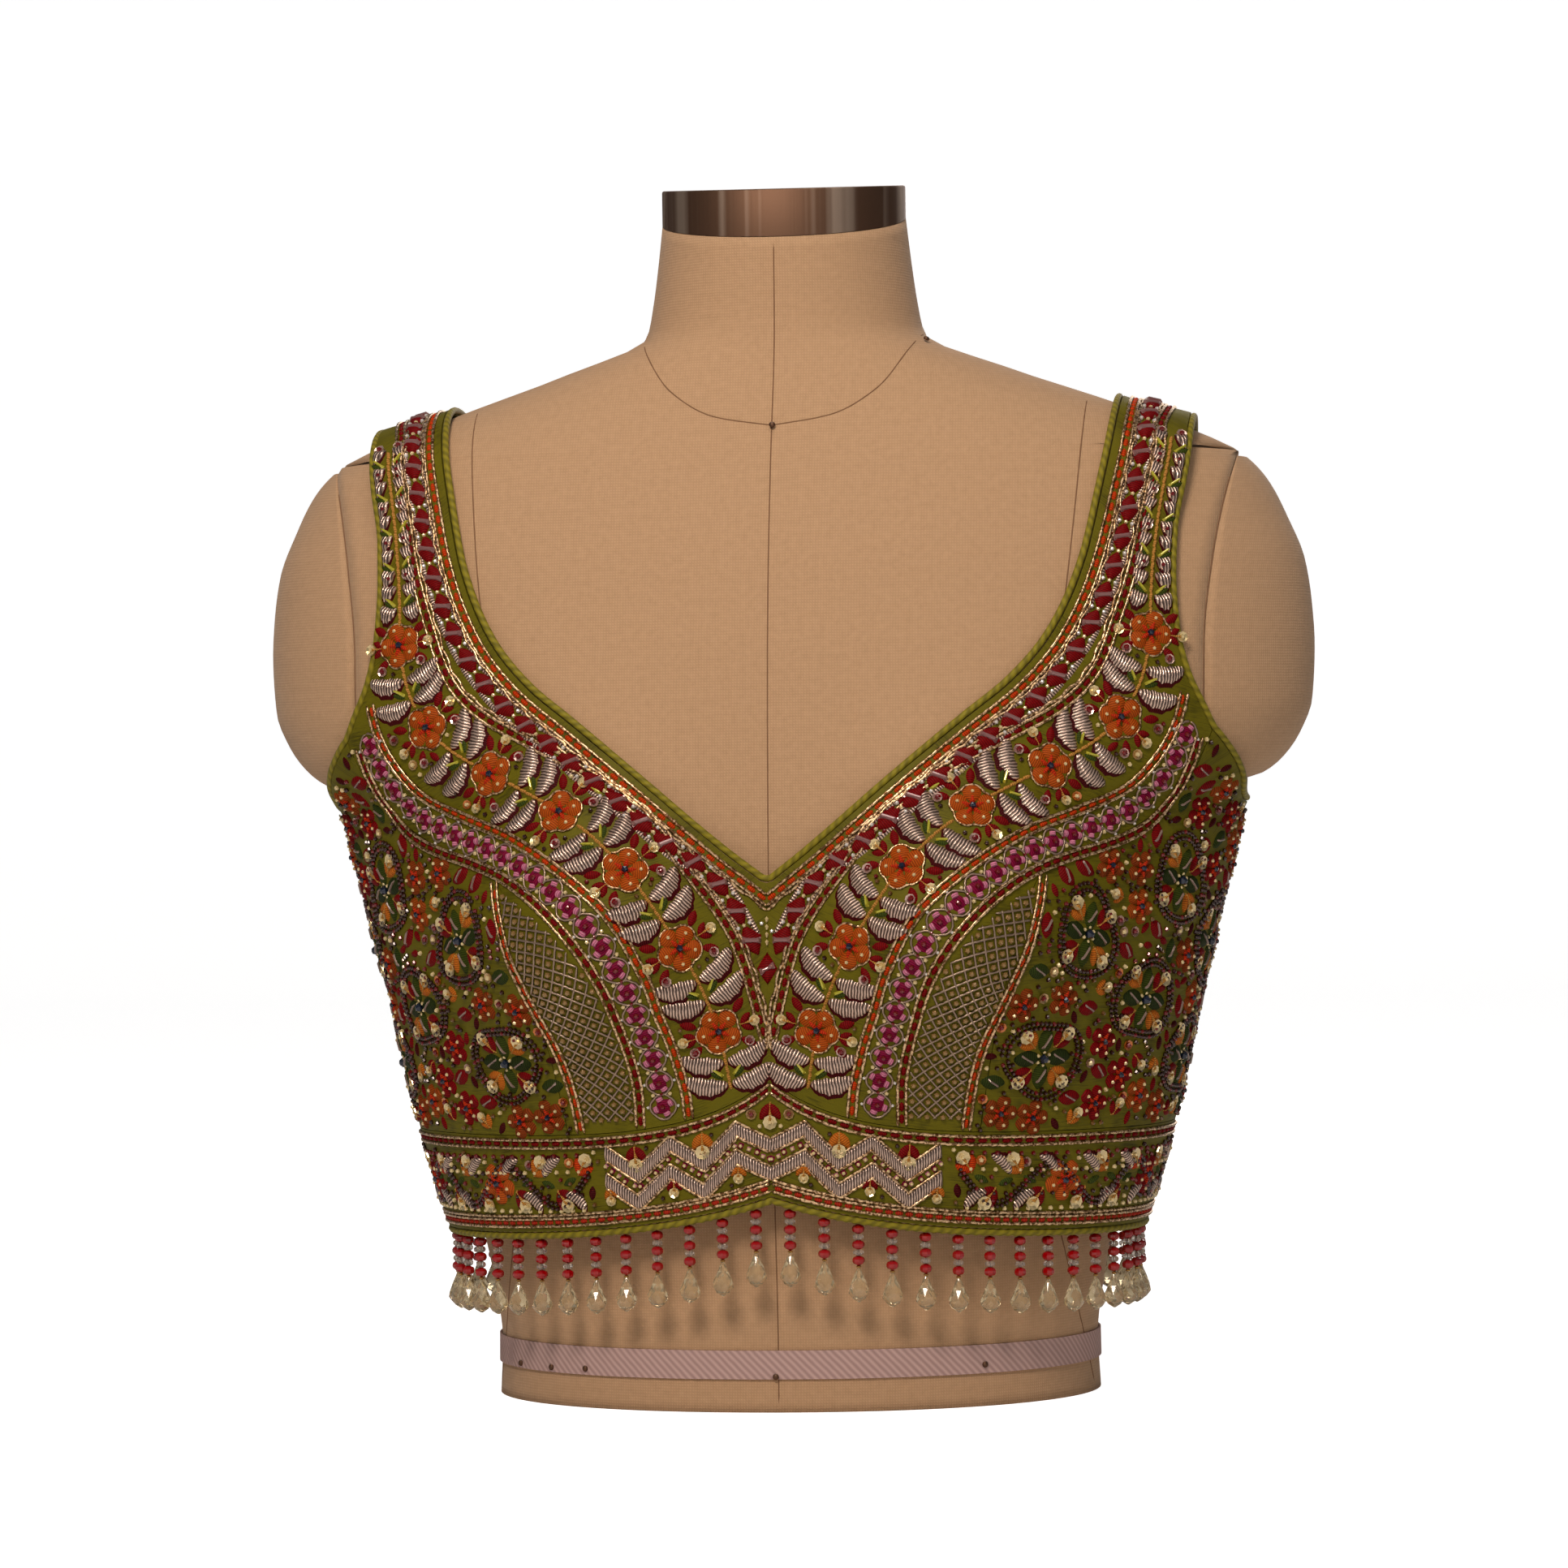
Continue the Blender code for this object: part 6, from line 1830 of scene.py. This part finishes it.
# Waistband zigzags
# Two padded ribbons of silver zari run in points along the front of the band, each edged on both
# sides with gilt cord. Magenta squares and champagne beads fill the space between them.
ZIGZAG_HALF_WIDTH, ZIGZAG_THICK = 0.0024, 0.0012
ZIGZAG_TEETH, ZIGZAG_PITCH, ZIGZAG_SWING = 5, 0.0264, 0.0052
ZIGZAG_ABOVE_HEM = {"zigzag_upper": 0.0252, "zigzag_lower": 0.0142}


def zigzag(x, above):
    """Height of a ribbon's middle: straight flanks between points, low at the centre front."""
    run = 2 * x / ZIGZAG_PITCH
    swing = ZIGZAG_SWING * (2 * np.abs(run - 2 * np.round(run / 2)) - 1)
    return hem(x, "front") + above + swing


x = np.linspace(-ZIGZAG_TEETH, ZIGZAG_TEETH, 401) * ZIGZAG_PITCH / 2
across = np.linspace(-1, 1, 7)
edge_paths = []
for name, above in ZIGZAG_ABOVE_HEM.items():
    z = zigzag(x, above)
    side = ZIGZAG_HALF_WIDTH * np.sqrt(1 + np.gradient(z, x) ** 2)
    grid = CLOTH.at(x[:, None], z[:, None] + across * side[:, None], "front")
    crown = WALL + SEAM + ZIGZAG_THICK * np.sqrt(np.maximum(1 - across**2, 0.0)) * np.ones((len(x), 1))
    crown[[0, -1]] = WALL + SEAM
    skin_points = off_cloth(grid, crown).reshape(-1, 3)
    base = off_cloth(grid, np.full(crown.shape, WALL + 0.0001)).reshape(-1, 3)
    quads, count = grid_faces(len(x), 7), len(skin_points)
    along = 1000 * np.concatenate([[0], np.cumsum(np.hypot(np.diff(x), np.diff(z)))])
    uv = np.broadcast_arrays(along[:, None], across * ZIGZAG_HALF_WIDTH * 1000)
    uv = np.stack(uv, axis=-1).reshape(-1, 2)
    index = np.arange(count).reshape(len(x), 7)
    rim = np.concatenate([index[0, :-1], index[:-1, -1], index[-1, :0:-1], index[:0:-1, 0]])
    after = np.roll(rim, -1)
    rims = np.stack([rim, rim + count, after + count, after], axis=-1)
    ribbon = surface(
        name + "_zari",
        np.concatenate([skin_points, base]),
        [quads[:, ::-1], quads + count, rims],
        zari,
        np.concatenate([uv, uv]),
    )
    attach(ribbon, "root")
    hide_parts(name)
    for sign in (-1, 1):
        edge_paths.append(CLOTH.at(x, z + sign * side * 1.08, "front"))
half_paths = [path[len(x) // 2 :] for path in edge_paths]
ribbon_x = x[len(x) // 2 :]
couched_paths("zigzag_cords", half_paths, gilt, 0.00062, 5)


# Band embroidery
# Red and orange petals in the zigzags' points and in a row on to the back, each with a crystal
# sequin; a dark bead vine winds between them.
flower_floss, flower_silver, flower_glass, flower_sequins = [], [], [], []
turn = np.linspace(0, math.pi - 0.004, 700)
level = np.full(len(turn), HEM + 0.02)
for _ in range(4):
    at_x = CLOTH.around(turn, level)[..., 0]
    top = np.where(turn < math.pi / 2, band_top(at_x, "front"), BAND_TOP)
    low = np.where(turn < math.pi / 2, hem(at_x, "front"), HEM)
    level = (top + low) / 2
band_middle = Line(CLOTH.around(turn, level), soft=0.002)


def on_band(x, z):
    """Length along the band's middle line, and how far aside of it, for places on its front."""
    places = CLOTH.at(x, z, "front")
    near = np.linalg.norm(places[:, None] - band_middle.points[None, ::2], axis=-1).argmin(axis=1) * 2
    point, _, _, side = band_middle.at(band_middle.walked[near])
    return band_middle.walked[near], ((places - point) * side).sum(axis=-1)


tooth = np.arange(0, ZIGZAG_TEETH + 1) * ZIGZAG_PITCH / 2
upper, lower = (zigzag(tooth, above) for above in ZIGZAG_ABOVE_HEM.values())
dips = np.arange(len(tooth)) % 2 == 0
for k, x_at in enumerate(tooth):
    colour = (CRIMSON, AMBER)[(k // 2 + (not dips[k])) % 2]
    turn_at = float(CLOTH.turn_of(x_at, upper[k], "front"))
    if dips[k]:
        free = band_top(x_at, "front") - 0.0062 - upper[k]
        line, s = upright(turn_at, upper[k] + 0.003 + 0.62 * free)
        accent(line, s, 0.0, math.pi, colour, min(1.25, free / 0.0085))
    else:
        line, s = upright(turn_at, lower[k] - 0.0038)
        accent(line, s, 0.0, math.pi, colour, 0.9)
    if k == 0:
        middle_floss, middle_glass, middle_sequins = flower_floss, flower_glass, flower_sequins
        flower_floss, flower_glass, flower_sequins = [], [], []
x = np.linspace(0, ZIGZAG_TEETH * ZIGZAG_PITCH / 2, 24)
z = zigzag(x, sum(ZIGZAG_ABOVE_HEM.values()) / 2)
s, aside = on_band(x, z)
flower_floss.append(stamp(square, band_middle, s[::2], aside[::2], (0.0013, 0.0013, 0.0008), MAGENTA, 0.78))
flower_floss.append(stamp(square, band_middle, s[1::2], aside[1::2], (0.001, 0.001, 0.0007), PINK, 0.78))
bead(band_middle, s, aside, TINY_SEED, CHAMPAGNE, 0.0005)

first = on_band(np.array([ZIGZAG_TEETH * ZIGZAG_PITCH / 2 + 0.01]), np.array([0.094]))[0][0]
places = np.arange(first, band_middle.length - 0.008, 0.0104)
for k, s in enumerate(places):
    up = 1 if k % 2 else -1
    if k % 5 == 4:
        flower(band_middle, np.array([s]), 0.95, ("#B8541A", CRIMSON)[k % 2])
        continue
    colour = (ORANGE, CRIMSON, AMBER, CRIMSON)[k % 4]
    accent(band_middle, np.array([s]), np.array([up * 0.004]), up * 2.2, colour, 1.25)
    size = np.array((0.0058, 0.0027, 0.0013))
    at = s + 0.003, -up * 0.0072
    flower_silver.append(stamp(crescent, band_middle, *at, size, SILVER, up * 0.7, lift=0.0003))
    size *= (1.05, 1.25, 0.6)
    flower_floss.append(stamp(teeth, band_middle, s + 0.003, -up * 0.0078, size, MAROON, up * 0.7))
    size = (0.0034, 0.0018, 0.001)
    flower_floss.append(stamp(leaf, band_middle, s + 0.005, up * 0.0005, size, LEAF_GREEN, -up * 0.4))
s = np.arange(first, band_middle.length - 0.006, 0.0052)
for aside, colour in ((0.0112, CHAMPAGNE), (-0.0112, WINE), (0.005, DARK), (-0.0045, CHAMPAGNE)):
    bead(band_middle, s, aside, VINE_BEAD, colour)
wave_s = np.linspace(first - 0.004, band_middle.length - 0.004, 500)
for shift in (0.0, 0.0021):
    wave_aside = 0.0082 * np.sin((wave_s - first) * 2 * math.pi / 0.0472) + shift
    s, aside = strung(band_middle, wave_s, wave_aside)
    colours = np.where(np.arange(len(s)) % 4 == 1, WINE, DARK)
    bead(band_middle, s, aside, VINE_BEAD, colours)
# What the motifs leave of the band takes petals, sequins and beads.
count = 9000
turns = rng.uniform(0.0, math.radians(179), count)
places = CLOTH.around(turns, rng.uniform(0.075, 0.134, count))


def band_ground(points, margin):
    """True where places on the band are clear of its borders."""
    x, front = points[:, 0], points[:, 1] < 0
    low, top = np.where(front, hem(x, "front"), HEM), np.where(front, band_top(x, "front"), BAND_TOP)
    return (points[:, 2] > low + 0.0078 + margin) & (points[:, 2] < top - 0.006 - margin) & (x > 0.002)


fillers = (("petal", 0.0026, 2500), ("sequin", 0.0023, 2500), ("seed", 0.0012, 4000))
band_stamps = flower_floss + flower_silver + flower_sequins + flower_glass + middle_floss + middle_sequins
# The room that the motifs, the cords of the zigzags and the zigzags' middles need.
motifs = np.concatenate([m["points"][::4] for m in band_stamps])
cords = np.concatenate([path[::2] for path in half_paths])
ribbons = [CLOTH.at(ribbon_x, zigzag(ribbon_x, above), "front") for above in ZIGZAG_ABOVE_HEM.values()]
spots = np.concatenate([motifs, cords, *ribbons])
counts = [len(motifs), len(cords), len(spots) - len(motifs) - len(cords)]
sizes = np.repeat([0.0004, 0.0012, 0.0026], counts)
fill(places, band_ground, spots, sizes, fillers)
sewn("band_floss", flower_floss, floss, middle_floss)
band_silver = sewn("band_silver", flower_silver, zari)
sewn("band_glass", flower_glass, glass, middle_glass, False)
sewn("band_sequins", flower_sequins, foil, middle_sequins, False)


# Bead fringe
# Strands hang from a tape inside the hem: red and clear glass rondelles in turn, a small metal bead,
# and a faceted champagne drop.
FRINGE_STRANDS = 58
FRINGE_TAPE_GAP, FRINGE_TAPE_THICK, FRINGE_TAPE_HEIGHT, FRINGE_TAPE_ABOVE_HEM = 0.0016, 0.0014, 0.003, 0.001
RONDELLE_SIDES = 8
# Each bead's top below the hem, its height and its radius.
RONDELLES = {
    "red_glass": ((0.0034, 0.0036, 0.00245), (0.0096, 0.0036, 0.00245), (0.0158, 0.0036, 0.00245)),
    "clear_glass": ((0.007, 0.0026, 0.00205), (0.0132, 0.0026, 0.00205)),
    "brass_beads": ((0.0195, 0.0011, 0.001),),
}
DROP_TOP, DROP_LENGTH, DROP_RADIUS = 0.0206, 0.0134, 0.0042
turns = np.linspace(-math.pi, math.pi, 1202)[1:-1]
level = np.where(np.abs(turns) < math.pi / 2, hem(CLOTH.around(turns, HEM)[..., 0], "front"), HEM)
rim = CLOTH.around(turns, level)
walked = walk(rim[:, :2])
middles = (np.arange(FRINGE_STRANDS) + 0.5) / FRINGE_STRANDS * walked[-1]
strand_turn, strand_level = np.interp(middles, walked, turns), np.interp(middles, walked, level)


def hem_face(turn, level):
    """The tape's outer face at the hem, and the level direction out of it."""
    edge = CLOTH.around(turn, level)
    out = unit(CLOTH.normal(edge) * (1, 1, 0))
    return edge - out * FRINGE_TAPE_GAP, out


strand, strand_out = hem_face(strand_turn, strand_level)
strand[:, 2] = strand_level


def turned(name, drops, radii, material, sides=RONDELLE_SIDES, smooth_shading=False, facet_turn=0.0):
    """One bead on every strand: rings of these radii at these drops below the hem, closed at both ends."""
    around = np.arange(sides) * 2 * math.pi / sides
    side = np.stack([-strand_out[:, 1], strand_out[:, 0], 0 * strand_out[:, 0]], axis=-1)
    points, faces, first = [], [], 0
    for bead_drops, bead_radii in zip(drops, radii):
        angle = around + facet_turn * np.arange(len(bead_drops))[:, None]
        radius = np.asarray(bead_radii)[:, None]
        ring = (
            strand[:, None, None]
            + (radius * np.cos(angle))[None, ..., None] * strand_out[:, None, None]
            + (radius * np.sin(angle))[None, ..., None] * side[:, None, None]
        )
        ring[..., 2] -= np.asarray(bead_drops)[:, None]
        count = len(bead_drops) * sides
        one = grid_faces(len(bead_drops), sides, True)
        starts = first + np.arange(FRINGE_STRANDS)[:, None, None] * count
        points.append(ring.reshape(-1, 3))
        caps = np.stack([np.arange(sides)[::-1], count - sides + np.arange(sides)])
        faces.append(((one[:, ::-1] + starts).reshape(-1, 4), (caps[:, ::-1] + starts).reshape(-1, sides)))
        first += FRINGE_STRANDS * count
    walls, ends = (np.concatenate(f) for f in zip(*faces))
    obj = surface(name, np.concatenate(points), [walls, ends], material, smooth=smooth_shading)
    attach(obj, "root")
    return obj


def cut_glass(name, colour, tinted):
    """Clear lead glass, cut and polished: it bends light strongly and colours what comes through."""
    material = finish_of(name)
    finish(material, {
        "Base Color": linear(colour), "Roughness": 0.04, "IOR": 1.58, "Transmission Weight": tinted,
    })
    return material


glasses = {
    "red_glass": cut_glass("ruby_cut_glass", "#A8030A", 0.2),
    "clear_glass": cut_glass("clear_cut_glass", "#F0E9E0", 0.85),
    "champagne_glass": cut_glass("champagne_cut_glass", "#EFE0BC", 0.85),
}
# Lacquered brass, turned and polished
brass = finish_of("lacquered_brass")
finish(brass, {"Base Color": linear("#B08A4E"), "Metallic": 1.0, "Roughness": 0.25})
glasses["brass_beads"] = brass
swell = np.array([0.35, 0.8, 1.0, 1.0, 0.8, 0.35])
part_way = np.array([0.0, 0.14, 0.36, 0.64, 0.86, 1.0])
for name, rows in RONDELLES.items():
    drops = [row[0] + row[1] * part_way for row in rows]
    beads = turned("fringe_" + name, drops, [row[2] * swell for row in rows], glasses[name])
part_way = np.array([0.0, 0.1, 0.34, 0.6, 0.74, 0.9, 1.0])
swell = np.array([0.16, 0.3, 0.62, 0.97, 0.98, 0.62, 0.1])
drops_of_glass = turned(
    "fringe_drops",
    [DROP_TOP + DROP_LENGTH * part_way],
    [DROP_RADIUS * swell],
    glasses["champagne_glass"],
    facet_turn=math.pi / RONDELLE_SIDES,
)
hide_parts("bead_fringe")
# The thread is waxed cotton, doubled.
turned("fringe_thread", [np.array([-0.001, 0.0208])], [np.full(2, 0.0003)], seam_thread, 5, True)
tape_face, tape_out = hem_face(turns, level)
low = FRINGE_TAPE_ABOVE_HEM
corners = [
    tape_face + (0, 0, low),
    tape_face - tape_out * FRINGE_TAPE_THICK + (0, 0, low),
    tape_face - tape_out * FRINGE_TAPE_THICK + (0, 0, low + FRINGE_TAPE_HEIGHT),
    tape_face + (0, 0, low + FRINGE_TAPE_HEIGHT),
]
rings = np.stack(corners, axis=1)[::3]
count = len(rings)
caps = np.stack([np.arange(4), (count - 1) * 4 + np.arange(4)[::-1]])
faces = [grid_faces(count, 4, True)[:, ::-1], caps]
fringe_tape = surface("fringe_tape", rings.reshape(-1, 3), faces, bias_silk, smooth=False)
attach(fringe_tape, "root")


# Pins
# Round steel heads of dressmaker's pins, pushed home to hold the tape, and two in the neck.
heads = dome(10)
PIN_HEAD = 0.0013
x, z = np.array(PIN_SPOTS + NECK_PIN_SPOTS).T
centre, normals = on_form(x, z, "front")
centre = centre + normals * (TAPE_THICK + SEAM)
side = unit(np.cross((0, 0, 1.0), normals))
local = heads["points"] * PIN_HEAD
points = centre[:, None] + local[:, :1] * side[:, None] + local[:, 1:2] * np.cross(normals, side)[:, None]
points = points + local[:, 2:] * normals[:, None]
first = np.arange(len(x))[:, None, None] * len(local)
faces = [(f[:, ::-1] + first).reshape(-1, f.shape[1]) for f in heads["faces"]]
# The heads take the cap's steel, with its painted reflections.
pins = surface("pins", points.reshape(-1, 3), faces, steel, 1000 * points.reshape(-1, 3)[:, :2])
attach(pins, "root")
